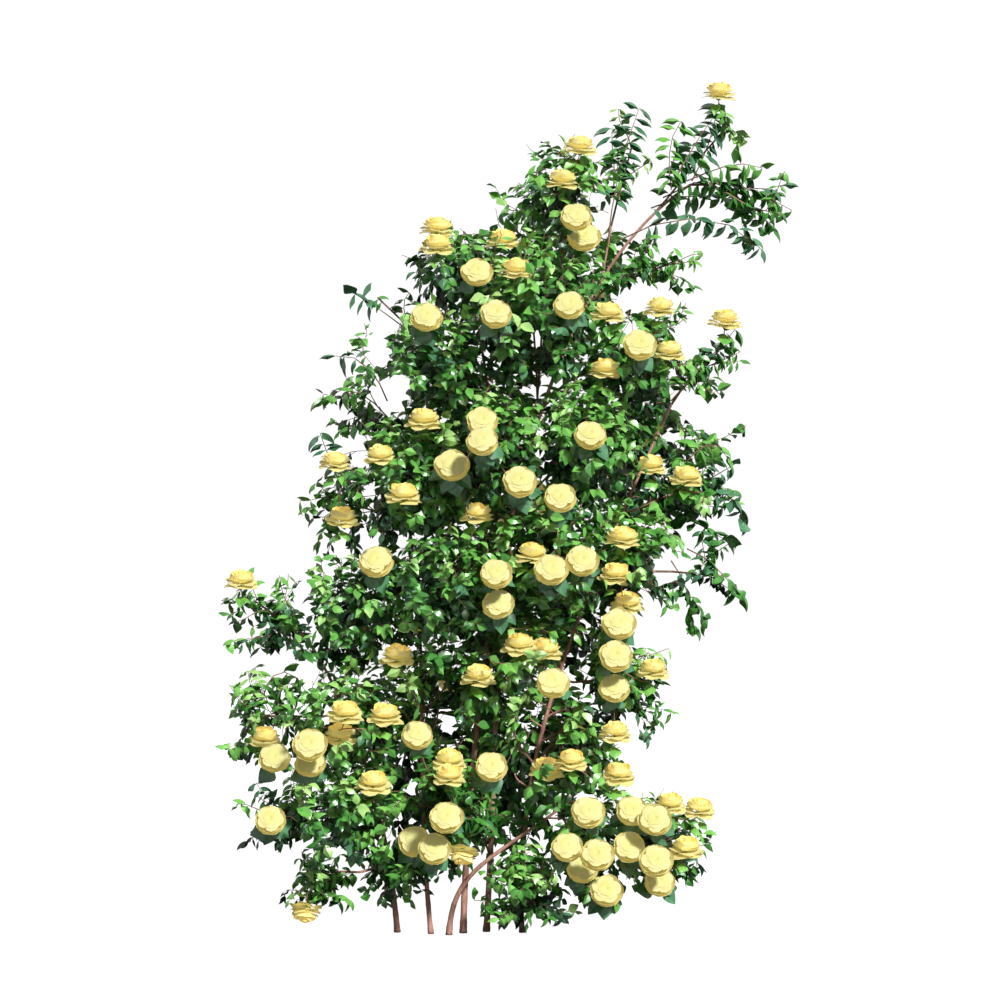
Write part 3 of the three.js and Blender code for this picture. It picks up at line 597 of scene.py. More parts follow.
class BloomSetter:
    """Gives each bloom to the mass that it shows on, clear of limbs and of other blooms."""

    TRIES = 24
    STRIDE = 12.0
    ROOM_ROUND = 4.0
    LEAST_BULGE = 0.08
    BASE_BACK = 0.45
    BACK_WIDE = 0.8
    BACK_TALL = 0.75
    BACK_OPEN_SHARE = 0.6
    HIDDEN = 0.85

    def __init__(self, masses: list[Mass], limbs: list[Limb]) -> None:
        """Takes the masses and the limbs that the blooms keep clear of."""
        self.masses = masses
        self.limbs = limbs
        self.cores = [m for m in masses if m.plan.dense]
        self.placed: list[Bloom] = []

    def is_free(self, middle: np.ndarray, mass: Mass) -> bool:
        """Tells whether a bloom has room at this middle."""
        return not (
            any(np.linalg.norm(b.middle - middle) < BLOOM_SPACING for b in self.placed)
            or any(limb.touches(middle, BLOOM_RADIUS + self.ROOM_ROUND) for limb in self.limbs)
            or any(c is not mass and c.core_touches(middle, BLOOM_RADIUS) for c in self.cores)
        )

    def set(self, mass: Mass, facing: Facing, x: float, z: float, side: int) -> None:
        """Sets one bloom at the front (side -1) or back (side 1) of a mass."""
        tilt, depth = TILTS[facing]
        bulge = math.sqrt(max(self.LEAST_BULGE, 1 - mass.share(x, z) ** 2))
        skin = mass.centre[1] + side * mass.half[1] * bulge * depth
        axis = unit(np.array([tilt[0], -side * tilt[1], tilt[2]]))
        for k in range(self.TRIES):
            y = skin + (1 if k % 2 else -1) * math.ceil(k / 2) * self.STRIDE
            middle = placed_at(x, y, z)
            if self.is_free(middle, mass):
                bloom = Bloom(middle - axis * BLOOM_HEIGHT * self.BASE_BACK, axis, middle, facing)
                mass.blooms.append(bloom)
                self.placed.append(bloom)
                return

    def set_all(self) -> list[Bloom]:
        """Sets the planned blooms of the front, and seeded ones at the back that the front hides."""
        fronts = [m for m in self.masses if not m.plan.back]
        backs = [m for m in self.masses if m.plan.back]
        for facing, places in BLOOMS.items():
            for x, z in places:
                self.set(min(fronts, key=lambda m: m.share(x, z)), facing, x, z, -1)
        random = SeededRandom(SEED)
        for k in range(BACK_BLOOMS):
            mass = backs[k % len(backs)]
            x = mass.plan.centre[0] + (random() * 2 - 1) * self.BACK_WIDE * mass.half[0]
            z = mass.plan.centre[2] + (random() * 2 - 1) * self.BACK_TALL * mass.half[2]
            facing = Facing.OUT if random() < self.BACK_OPEN_SHARE else Facing.UP
            if any(m.plan.dense and m.share(x, z) < self.HIDDEN for m in fronts):
                self.set(mass, facing, x, z, 1)
        return self.placed


# ---------- the growth of a mass ----------


@dataclass
class TwigBed:
    """Twigs gathered for one joined piece: their points and their end radii."""

    STEPS = 4

    points: list[np.ndarray] = field(default_factory=list)
    radii: list[tuple[float, float]] = field(default_factory=list)

    def add(self, line: Line, root: float, tip: float) -> None:
        """Gathers one twig."""
        self.points.append(line.at(np.linspace(0, 1, self.STEPS + 1)))
        self.radii.append((root, tip))


@dataclass
class LeafBed:
    """Leaves gathered for one joined piece: base, direction, upper side, length, shape and tone."""

    base: list[np.ndarray] = field(default_factory=list)
    direction: list[np.ndarray] = field(default_factory=list)
    normal: list[np.ndarray] = field(default_factory=list)
    length: list[np.ndarray] = field(default_factory=list)
    kind: list[np.ndarray] = field(default_factory=list)
    tone: list[np.ndarray] = field(default_factory=list)


@dataclass(frozen=True)
class GrowthRule:
    """The sizes that a mass's twigs and leaves follow."""

    twigs_per_space: float
    leaf: float
    leaf_step: float
    kinds: tuple[LeafKind, ...]
    least: float
    first_leaf: float
    hollow: float = 0.0
    buds: tuple[float, ...] = (0.3, 0.55, 0.8)
    ragged: float = 0.0
    trail_leaf: float = 1.45
    within: float = 0.97
    root: float = 2.3
    tip: float = 0.85
    stalk_leaves: int = 6
    whorl_leaf: float = 56.0


DENSE_RULE = GrowthRule(
    33000.0, 37.0, 7.8, (LeafKind.ARCHED, LeafKind.FLAT, LeafKind.ARCHED), 34.0, 0.25, ragged=0.45
)
SPRAY_RULE = GrowthRule(
    8000.0, 38.0, 8.5, (LeafKind.CURLED, LeafKind.CURLED, LeafKind.ARCHED), 80.0, 0.1, 0.3, (0.2, 0.45)
)
BACK_RULE = GrowthRule(20000.0, 44.0, 8.6, (LeafKind.ARCHED, LeafKind.FLAT), 40.0, 0.3)


@dataclass(frozen=True)
class Habit:
    """How leaves stand on a stem: ranges of their angle, droop and length, and their scatter."""

    spread: tuple[float, float]
    droop: tuple[float, float]
    lengths: tuple[float, float]
    scatter: float


CLOTHED = Habit((0.7, 1.2), (0.5, 1.3), (0.72, 1.15), 0.45)
PAIRED = Habit((0.75, 1.25), (0.6, 1.4), (0.75, 1.15), 0.3)


class Growth:
    """Grows the twigs and leaves of one mass from its stem.

    The first constants, to THICKENING, lead a twig from its bud. The next, to SUN_DEPTH, keep the
    blooms in view and in the sun. The tones go from the skin inwards, each dealt down to a least
    light: lighter greens paint the light at the skin and on top, darker ones the shade within.
    """

    STEM_BUDS = (0.12, 1.0, 9)
    FORK_SHARE = 0.85
    TURN_COST = 0.5
    FOLLOW = 0.7
    PULL = (0.36, 0.34)
    THICKENING = 0.009
    NEIGHBOURHOOD = 300.0
    CLEAR_ROUND = 0.95
    CLEAR_OPEN = 1.05
    CLEAR_CUPPED = 0.75
    CLEAR_SUNWARD = 0.8
    SIGHT_DEPTH = 240
    SUN_DEPTH = 180
    # Painted light and shade: the least light for each green, lighter ones at the lit skin, darker within.
    TONES = ((0.85, Tone.YOUNG), (0.5, Tone.SUN), (0.25, Tone.DEEP))
    BLUE_SHARE = 0.4
    TONE_SCATTER = 0.22
    MARGIN = -14.0
    TIP_MARGIN = 12
    TRAIL_MARGIN = -200.0
    PAIR_PAST = 18.0
    TRAIL_PAST = 90.0
    ROLL = 0.6
    EDGE_ON = np.array([1.0, 0.55, 1.0])
    STALK_RADII = (1.6, 1.3)
    STALK_CLOTHED = (0.35, 0.8)
    CUPPED_LEAVES = 4

    def __init__(self, mass: Mass, stem: Limb, blooms: list[Bloom]) -> None:
        """Starts a mass from its stem.

        Args:
            mass: The mass and its space.
            stem: The limb that carries it.
            blooms: All the blooms, which the leaves keep clear of.
        """
        self.mass = mass
        self.airy = mass.plan.airy or not mass.plan.dense
        self.rule = BACK_RULE if mass.plan.back else SPRAY_RULE if self.airy else DENSE_RULE
        self.rng = np.random.default_rng(SEED + mass.index)
        reach = float(mass.half.max()) + self.NEIGHBOURHOOD
        self.blooms = [b for b in blooms if np.linalg.norm(b.middle - mass.centre) < reach]
        self.twigs = TwigBed()
        self.leaves = LeafBed()
        self.stem = stem.line
        shares = np.linspace(*self.STEM_BUDS)
        self.bud_places = list(stem.line.at(shares))
        self.bud_headings = list(stem.line.heading(shares))
        self.bud_radii = list(np.asarray(stem.radius_at(shares)))
        self.twigs.add(stem.line, stem.root, stem.tip)

    def nearest_bud(self, target: np.ndarray) -> int | None:
        """Picks the bud that a twig to this place grows from, counting a turn back as further."""
        places = np.array(self.bud_places)
        way = target - places
        distance = np.linalg.norm(way, axis=1)
        along = (way * np.array(self.bud_headings)).sum(1) / np.maximum(distance, 1e-6)
        turned = 1 + self.TURN_COST - self.TURN_COST * along
        cost = np.where(distance > self.rule.least, distance * turned, np.inf)
        best = int(cost.argmin())
        return best if np.isfinite(cost[best]) else None

    def add_buds(self, line: Line, root: float, tip: float) -> None:
        """Adds the buds that later twigs may grow from."""
        for share in self.rule.buds:
            self.bud_places.append(line.at(share))
            self.bud_headings.append(line.heading(share))
            self.bud_radii.append(root + (tip - root) * share)

    def grow_twig(self, target: np.ndarray, arrival: np.ndarray) -> Line | None:
        """Grows one twig to a place, arriving in a direction."""
        bud = self.nearest_bud(target)
        if bud is None:
            return None
        start, heading = self.bud_places[bud], self.bud_headings[bud]
        reach = float(np.linalg.norm(target - start))
        lead = unit(heading * self.FOLLOW + unit(target - start))
        leaving, arriving = self.PULL
        line = Line((start, start + lead * reach * leaving, target - arrival * reach * arriving, target))
        thickest = self.bud_radii[bud] * self.FORK_SHARE
        root = min(thickest, self.rule.root, self.rule.tip + reach * self.THICKENING)
        self.twigs.add(line, root, self.rule.tip)
        self.add_buds(line, root, self.rule.tip)
        return line

    def outward(self, points: np.ndarray) -> np.ndarray:
        """Gives the way out of the mass at these points."""
        return unit((points - self.mass.centre) / self.mass.half)

    def has_light(self, points: np.ndarray) -> np.ndarray:
        """Tells which points no bloom takes up, looks out over or is lit through, and no gap holds."""
        free = np.ones(len(points), bool)
        sunward = unit(np.array(SUNWARD))
        for bloom in self.blooms:
            offset = points - bloom.middle
            wide = bloom.facing is Facing.OUT
            free &= np.linalg.norm(offset, axis=1) > BLOOM_RADIUS * self.CLEAR_ROUND
            sight = unit(VIEWPOINT - bloom.middle) * (1 if bloom.axis[1] < 0 else -1)
            breadth = self.CLEAR_OPEN if wide else self.CLEAR_CUPPED
            short = 1 if wide else 0.5
            lanes = (
                (sight, breadth, self.SIGHT_DEPTH * short),
                (sunward, self.CLEAR_SUNWARD, self.SUN_DEPTH * short),
            )
            for way, breadth, depth in lanes:
                ahead = offset @ way
                aside = np.linalg.norm(offset - ahead[:, None] * way, axis=1)
                free &= (ahead < 0) | (aside > BLOOM_RADIUS * breadth) | (ahead > depth)
        for gap in (*SKY_GAPS, *BARE_WOOD):
            free &= ~gap.holds(points)
        return free & (points[:, 0] < REACH_RIGHT) & (points[:, 0] > REACH_LEFT)

    def add_leaves(
        self,
        base: np.ndarray,
        direction: np.ndarray,
        normal: np.ndarray,
        length: np.ndarray,
        kinds: tuple[LeafKind, ...],
        tone: Tone,
        margin: float = MARGIN,
        past: float = 0.0,
    ) -> None:
        """Keeps the leaves that stay in the space and in the light.

        Args:
            base: Where they leave the twig, one a row.
            direction: The way that they point.
            normal: The way that their upper side looks.
            length: Their lengths.
            kinds: The shapes that they may take.
            tone: Their green.
            margin: How far inside the space's walls they stay.
            past: How far past the space's skin they may reach.
        """
        direction = unit(direction)
        normal = unit(normal - (normal * direction).sum(1)[:, None] * direction)
        middle = base + direction * length[:, None] * 0.5
        tip = base + direction * length[:, None]
        keep = self.mass.holds(middle, margin, past) & self.mass.holds(tip, margin - self.TIP_MARGIN, past)
        keep &= self.has_light(middle) & self.has_light(tip)
        if not keep.any():
            return
        bed = self.leaves
        bed.base.append(base[keep])
        bed.direction.append(direction[keep])
        bed.normal.append(normal[keep])
        bed.length.append(length[keep])
        choices = np.array([kind.value for kind in kinds])
        bed.kind.append(self.rng.choice(choices, keep.sum()))
        bed.tone.append(np.full(keep.sum(), tone.value))

    def pick_tone(self, target: np.ndarray) -> Tone:
        """Deals a green to a spray: light at the skin and on top, dark within, as painted light and shade.
        """
        depth = float(np.linalg.norm((target - self.mass.centre) / self.mass.half))
        light = depth * 0.6 + 0.3 * float(self.outward(target[None])[0, 2])
        light += self.rng.normal(0, self.TONE_SCATTER)
        for least, tone in self.TONES:
            if light > least:
                return tone
        return Tone.BLUE if self.rng.random() < self.BLUE_SHARE else Tone.SHADE

    def clothe(self, line: Line, tone: Tone, first: float, last: float = 1.0) -> None:
        """Sets leaves along a twig of a dense mass, to this side and that, and one at its tip."""
        rule, rng, habit = self.rule, self.rng, CLOTHED
        count = max(2, round(line.length * (last - first) / rule.leaf_step))
        share = np.linspace(first, last, count)
        base = line.at(share)
        heading = line.heading(share)
        across = unit(np.cross(heading, UP) + 1e-3)
        side = np.where(np.arange(count) % 2, 1.0, -1.0)
        roll = rng.normal(0, self.ROLL, count)
        rise = np.cross(across, heading)
        sideways = across * (side * np.cos(roll))[:, None] + rise * np.sin(roll)[:, None]
        spread = rng.uniform(*habit.spread, count)[:, None]
        spread[-1] = 0.15 if last == 1.0 else spread[-1]
        outward = self.outward(base)
        droop = self.mass.plan.hang * rng.uniform(*habit.droop, count)[:, None]
        direction = heading * np.cos(spread) + sideways * np.sin(spread) + outward * 0.2 - UP * droop
        normal = UP * 0.7 + outward * 0.85 + rng.normal(0, habit.scatter, (count, 3))
        length = rule.leaf * rng.uniform(*habit.lengths, count)
        self.add_leaves(base, direction, normal, length, rule.kinds, tone)

    def hang_pairs(self, line: Line, tone: Tone, first: float, trails: bool = False) -> None:
        """Hangs pairs of folded leaves from a stem, which arch out and down from it.

        Args:
            line: The stem.
            tone: Their green.
            first: The share of the stem where they start.
            trails: Whether the stem trails past the skin of the mass, with larger leaves.
        """
        rule, rng, habit = self.rule, self.rng, PAIRED
        step = rule.leaf_step * (2.7 if trails else 2.1)
        pairs = max(2, round(line.length * (1 - first) / step))
        share = np.repeat(np.linspace(first, 1, pairs), 2)
        share = np.clip(share + rng.uniform(-0.3, 0.3, len(share)) / pairs, first, 1)
        base, heading = line.at(share), line.heading(share)
        side = np.tile([1.0, -1.0], pairs)[:, None]
        across = unit(np.cross(DEPTH, heading) + 1e-3)
        spread = rng.uniform(*habit.spread, (2 * pairs, 1))
        droop = self.mass.plan.hang * rng.uniform(*habit.droop, (2 * pairs, 1))
        direction = heading * np.cos(spread) + across * side * np.sin(spread) - UP * droop
        direction += rng.normal(0, 0.22, direction.shape)
        normal = UP * 0.8 + heading * 0.5 + across * side * 0.2
        normal += rng.normal(0, habit.scatter, direction.shape)
        direction *= self.EDGE_ON
        normal *= self.EDGE_ON
        length = rule.leaf * rng.uniform(*habit.lengths, 2 * pairs) * (rule.trail_leaf if trails else 1)
        margin = self.TRAIL_MARGIN if trails else self.MARGIN
        past = self.TRAIL_PAST if trails else self.PAIR_PAST
        self.add_leaves(base, direction, normal, length, rule.kinds, tone, margin, past)

    def grow_trails(self) -> None:
        """Grows the mass's long stems and hangs their leaves."""
        for trail in TRAILS:
            if trail.mass != self.mass.plan.name:
                continue
            line = Line(placed_at(x, trail.depth, z) for x, z in trail.guides)
            self.twigs.add(line, trail.radius, self.rule.tip)
            self.add_buds(line, trail.radius, self.rule.tip)
            tone = Tone(int(self.rng.integers(Tone.SUN.value, Tone.YOUNG.value)))
            self.hang_pairs(line, tone, trail.first, True)

    def grow_to_bloom(self, bloom: Bloom) -> None:
        """Grows a bloom's stalk, with its whorl of broad leaves."""
        line = self.grow_twig(bloom.place, bloom.axis)
        if line is None:
            return
        rule, rng = self.rule, self.rng
        thickness, neck = self.STALK_RADII
        self.twigs.radii[-1] = (max(self.twigs.radii[-1][0], thickness), neck)
        self.clothe(line, Tone.DEEP, *self.STALK_CLOTHED)
        wide = bloom.facing is Facing.OUT
        count = rule.stalk_leaves + int(rng.integers(0, 3)) if wide else self.CUPPED_LEAVES
        turn = np.arange(count) * 2 * math.pi / count + rng.uniform(0, 7)
        first = unit(np.cross(bloom.axis, UP) + 1e-3)
        second = np.cross(bloom.axis, first)
        ring = first * np.cos(turn)[:, None] + second * np.sin(turn)[:, None]
        back = rng.uniform(4, 24, count)[:, None]
        base = bloom.place - bloom.axis * back + ring * 3
        direction = ring - bloom.axis * rng.uniform(-0.1, 0.35, count)[:, None] - UP * 0.12
        normal = bloom.axis + UP * 0.25 + rng.normal(0, 0.12, (count, 3))
        length = (rule.whorl_leaf if wide else rule.leaf) * rng.uniform(0.85, 1.12, count)
        kinds = (LeafKind.ROUND, LeafKind.ROUND, LeafKind.FLAT)
        tone = Tone.BLUE if wide else Tone.SUN
        self.add_leaves(base, direction, normal, length, kinds, tone, margin=-60.0, past=30.0)

    def grow_to_fill(self) -> None:
        """Grows twigs to evenly spread places, each from the nearest bud."""
        mass, rng = self.mass, self.rng
        tries = int(np.prod(mass.half * mass.spill / 1000) * self.rule.twigs_per_space * mass.plan.fill)
        reach = mass.half * mass.spill * self.rule.within
        targets = even_points(tries, float(rng.random())) * reach + mass.centre
        depth = np.linalg.norm((targets - mass.centre) / reach, axis=1)
        inside = mass.holds(targets) & (depth > self.rule.hollow)
        inside &= rng.random(tries) > self.rule.ragged * np.maximum(0, depth - 0.6) / 0.4
        order = np.argsort(np.linalg.norm((targets - mass.centre) / mass.half, axis=1), kind="stable")
        for k in order[inside[order]]:
            target = targets[k]
            outward = self.outward(target[None])[0]
            arrival = unit(outward + rng.normal(0, 0.35, 3) - UP * mass.plan.hang * 0.9 + UP * 0.25)
            if not self.has_light(target[None])[0]:
                continue
            line = self.grow_twig(target, arrival)
            if line is not None:
                clothe = self.hang_pairs if self.airy else self.clothe
                clothe(line, self.pick_tone(target), self.rule.first_leaf)

    def grow(self) -> None:
        """Grows the long stems, the stalks of the blooms, and then the twigs that fill the mass."""
        if self.airy:
            self.hang_pairs(self.stem, Tone.DEEP, 0.25)
        self.grow_trails()
        for bloom in self.mass.blooms:
            self.grow_to_bloom(bloom)
        self.grow_to_fill()


# ---------- making meshes ----------


class Stamp:
    """A small shape that is copied many times into one joined mesh."""

    def __init__(self, shape: bmesh.types.BMesh) -> None:
        """Reads the corners and faces of a bmesh, and frees it."""
        shape.verts.index_update()
        self.places = np.array([v.co for v in shape.verts], float)
        loops = [[v.index for v in f.verts] for f in shape.faces]
        self.corners = np.concatenate([np.array(loop) for loop in loops])
        self.sizes = np.array([len(loop) for loop in loops])
        self.slots = np.array([f.material_index for f in shape.faces])
        shape.free()


class Joined:
    """Gathers copies of stamps and tubes, and makes them one mesh."""

    def __init__(self) -> None:
        """Starts with nothing gathered."""
        self.places: list[np.ndarray] = []
        self.corners: list[np.ndarray] = []
        self.sizes: list[np.ndarray] = []
        self.slots: list[np.ndarray] = []
        self.count = 0

    def add(self, places: np.ndarray, corners: np.ndarray, sizes: np.ndarray, slots: np.ndarray) -> None:
        """Gathers faces, given the places of their corners."""
        self.places.append(places)
        self.corners.append(corners + self.count)
        self.sizes.append(sizes)
        self.slots.append(slots)
        self.count += len(places)

    def stamp(self, stamp: Stamp, turns: np.ndarray, moves: np.ndarray, slots: np.ndarray) -> None:
        """Copies a stamp.

        Args:
            stamp: The shape.
            turns: One 3 x 3 matrix a copy, whose columns are its axes with their lengths.
            moves: Where the copies' origins lie.
            slots: What is added to the faces' slots, one value a copy.
        """
        n, m = len(turns), len(stamp.places)
        if n == 0:
            return
        places = np.einsum("nij,mj->nmi", turns, stamp.places) + moves[:, None]
        corners = stamp.corners[None] + (np.arange(n) * m)[:, None]
        self.add(
            places.reshape(-1, 3),
            corners.ravel(),
            np.tile(stamp.sizes, n),
            (stamp.slots[None] + slots[:, None]).ravel(),
        )

    def object(
        self,
        name: str,
        materials: list[bpy.types.Material],
        crease: float = math.pi,
    ) -> bpy.types.Object:
        """Makes the mesh and its object, with smooth faces and sharp edges past the crease angle."""
        sizes = np.concatenate(self.sizes)
        corners = np.concatenate(self.corners)
        mesh = bpy.data.meshes.new(name)
        mesh.vertices.add(self.count)
        mesh.vertices.foreach_set("co", (np.concatenate(self.places) * MM).astype(np.float32).ravel())
        mesh.loops.add(len(corners))
        mesh.loops.foreach_set("vertex_index", corners.astype(np.int32))
        mesh.polygons.add(len(sizes))
        starts = np.concatenate([[0], np.cumsum(sizes)[:-1]])
        mesh.polygons.foreach_set("loop_start", starts.astype(np.int32))
        for material in materials:
            mesh.materials.append(material)
        mesh.polygons.foreach_set("material_index", np.concatenate(self.slots).astype(np.int32))
        mesh.update(calc_edges=True)
        mesh.shade_smooth()
        mesh.set_sharp_from_angle(angle=crease)
        piece = bpy.data.objects.new(name, mesh)
        bpy.context.scene.collection.objects.link(piece)
        return piece


def finish_piece(piece: bpy.types.Object, nodes: Iterable[str]) -> None:
    """Sets a piece on the plant's body, in place of the nodes that it stands for."""
    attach(piece, "root")
    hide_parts(*nodes)
    triangles = sum(len(p.vertices) - 2 for p in piece.data.polygons)
    log.info("%s: %d triangles", piece.name, triangles)


def tubes(joined: Joined, bed: TwigBed, sides: int = 4) -> None:
    """Makes the gathered twigs round, closed at both ends."""
    points = np.array(bed.points)
    n, rings = points.shape[:2]
    ends = np.array(bed.radii)
    share = np.linspace(0, 1, rings)
    radii = ends[:, :1] + (ends[:, 1:] - ends[:, :1]) * share
    tangent = unit(np.gradient(points, axis=1))
    whole = unit(points[:, -1] - points[:, 0])
    helper = np.where(np.abs(whole[:, 2:]) > 0.8, [1.0, 0.3, 0.0], UP)
    first = unit(np.cross(tangent, unit(np.cross(whole, helper))[:, None]))
    second = np.cross(tangent, first)
    turn = np.arange(sides) * 2 * math.pi / sides
    ring = first[:, :, None] * np.cos(turn)[:, None] + second[:, :, None] * np.sin(turn)[:, None]
    skin = points[:, :, None] + ring * radii[:, :, None, None]
    root = points[:, :1] - tangent[:, :1] * radii[:, :1, None]
    tip = points[:, -1:] + tangent[:, -1:] * radii[:, -1:, None]
    places = np.concatenate([skin.reshape(n, -1, 3), root, tip], axis=1)
    size = rings * sides + 2
    step = np.arange(sides)
    after = (step + 1) % sides
    quads = [
        np.stack([r * sides + step, r * sides + after, (r + 1) * sides + after, (r + 1) * sides + step], 1)
        for r in range(rings - 1)
    ]
    low = np.stack([after, step, np.full(sides, size - 2)], 1)
    top = (rings - 1) * sides
    high = np.stack([top + step, top + after, np.full(sides, size - 1)], 1)
    corners = np.concatenate([np.concatenate(quads).ravel(), low.ravel(), high.ravel()])
    sizes = np.concatenate([np.full((rings - 1) * sides, 4), np.full(2 * sides, 3)])
    joined.add(
        places.reshape(-1, 3),
        (corners[None] + (np.arange(n) * size)[:, None]).ravel(),
        np.tile(sizes, n),
        np.zeros(n * len(sizes), int),
    )


# ---------- leaves and blooms ----------


@dataclass(frozen=True)
class LeafShape:
    """One shape of leaf, a unit long: a stalk and an ovate blade, bent along and across."""

    width: float
    bend: float
    fold: float
    curl: float
    rows: int = 5
    stalk: float = 0.12
    stalk_breadth: float = 0.035
    fullness: float = 0.62

    def outline(self, share: float) -> float:
        """Gives the breadth of the leaf at a share of its length."""
        if share <= self.stalk:
            return self.stalk_breadth
        blade = (share - self.stalk) / (1 - self.stalk)
        return self.width * max(0.0, math.sin(math.pi * blade**self.fullness))

    def spine(self, share: float) -> tuple[float, float]:
        """Gives how far out and how high the midrib lies at a share of its length."""
        angle = self.bend * share
        if abs(angle) < 1e-6:
            return share, 0.0
        return share * math.sin(angle) / angle, share * (math.cos(angle) - 1) / angle

    def stamp(self) -> Stamp:
        """Makes the leaf from a grid that is drawn out to its outline and bent."""
        leaf = bmesh.new()
        bmesh.ops.create_grid(leaf, x_segments=2, y_segments=self.rows, size=0.5)
        ends = [[v for v in leaf.verts if abs(v.co.y - end) < 1e-4] for end in (-0.5, 0.5)]
        for v in leaf.verts:
            share = v.co.y + 0.5
            across = v.co.x * self.outline(share)
            out, height = self.spine(share)
            rise = self.fold * abs(across) - self.curl * across**2 / self.width
            lean = self.bend * share
            v.co = (across, out + rise * math.sin(lean), height + rise * math.cos(lean))
        for row in ends:
            middle = sum((v.co for v in row), Vector()) / len(row)
            bmesh.ops.pointmerge(leaf, verts=row, merge_co=middle)
        bmesh.ops.recalc_face_normals(leaf, faces=leaf.faces)
        near = [f for f in leaf.faces if f.calc_center_median().y < 0.3]
        if sum(f.normal.z for f in near) < 0:
            bmesh.ops.reverse_faces(leaf, faces=leaf.faces)
        return Stamp(leaf)


LEAF_SHAPES = {
    LeafKind.ARCHED: LeafShape(width=0.62, bend=1.3, fold=-0.45, curl=0.2),
    LeafKind.CURLED: LeafShape(width=0.76, bend=1.8, fold=-0.6, curl=0.0, rows=7),
    LeafKind.FLAT: LeafShape(width=0.66, bend=0.6, fold=0.4, curl=-0.1),
    LeafKind.ROUND: LeafShape(width=0.86, bend=0.8, fold=-0.05, curl=0.6, rows=7),
}


class PetalSide(Enum):
    """The finishes of a bloom, in the order of its slots."""

    FACE = 0
    BACK = 1
    SEPAL = 2
    HEART = 3


@dataclass(frozen=True)
class Tier:
    """One ring of petals: four guide points (out, up) from the base of a petal to its rim."""

    petals: int
    profile: tuple[tuple[float, float], ...]
    half_turn: float
    ruffle: float
    turn: float
    side: PetalSide = PetalSide.FACE
    rounding: float = 0.2

    def spine(self, share: float) -> tuple[float, float]:
        """Gives the place on the profile at a share of the petal."""
        weights = ((1 - share) ** 3, 3 * share * (1 - share) ** 2, 3 * share**2 * (1 - share), share**3)
        out, up = (sum(w * p[axis] for w, p in zip(weights, self.profile)) for axis in (0, 1))
        return out, up


OPEN_TIERS = (
    Tier(5, ((4, 7), (28, 0), (46, 8), (46, 25)), 0.76, 1.8, 0.0, rounding=0.34),
    Tier(5, ((4, 9), (24, 4), (42, 14), (42, 31)), 0.76, 1.5, 0.5, rounding=0.3),
    Tier(5, ((4, 16), (10, 36), (27, 40), (40, 34)), 0.84, 1.4, 0.2, rounding=0.3),
    Tier(3, ((3, 22), (6, 38), (16, 42), (31, 37)), 1.45, 0.5, 0.7),
    Tier(3, ((0.2, 38), (3, 41.2), (12, 42), (24, 39.4)), 1.6, 0.25, 0.3, PetalSide.HEART),
)
CUPPED_TIERS = (
    Tier(5, ((4, 5), (22, 10), (36, 13), (46, 6)), 0.7, 3.2, 0.0, rounding=0.3),
    Tier(5, ((4, 10), (22, 16), (33, 21), (43, 17)), 0.7, 3.0, 0.5, rounding=0.3),
    Tier(4, ((4, 16), (20, 18), (31, 28), (37, 30)), 0.85, 2.4, 0.2, rounding=0.3),
    Tier(3, ((3, 20), (26, 18), (33, 31), (28, 42)), 1.3, 2.4, 0.7, PetalSide.BACK),
    Tier(3, ((2, 24), (18, 26), (24, 38), (18, 46)), 1.3, 2.0, 0.3, PetalSide.BACK),
    Tier(3, ((1, 30), (8, 32), (12, 42), (8, 48)), 1.2, 1.2, 0.8, PetalSide.BACK),
)


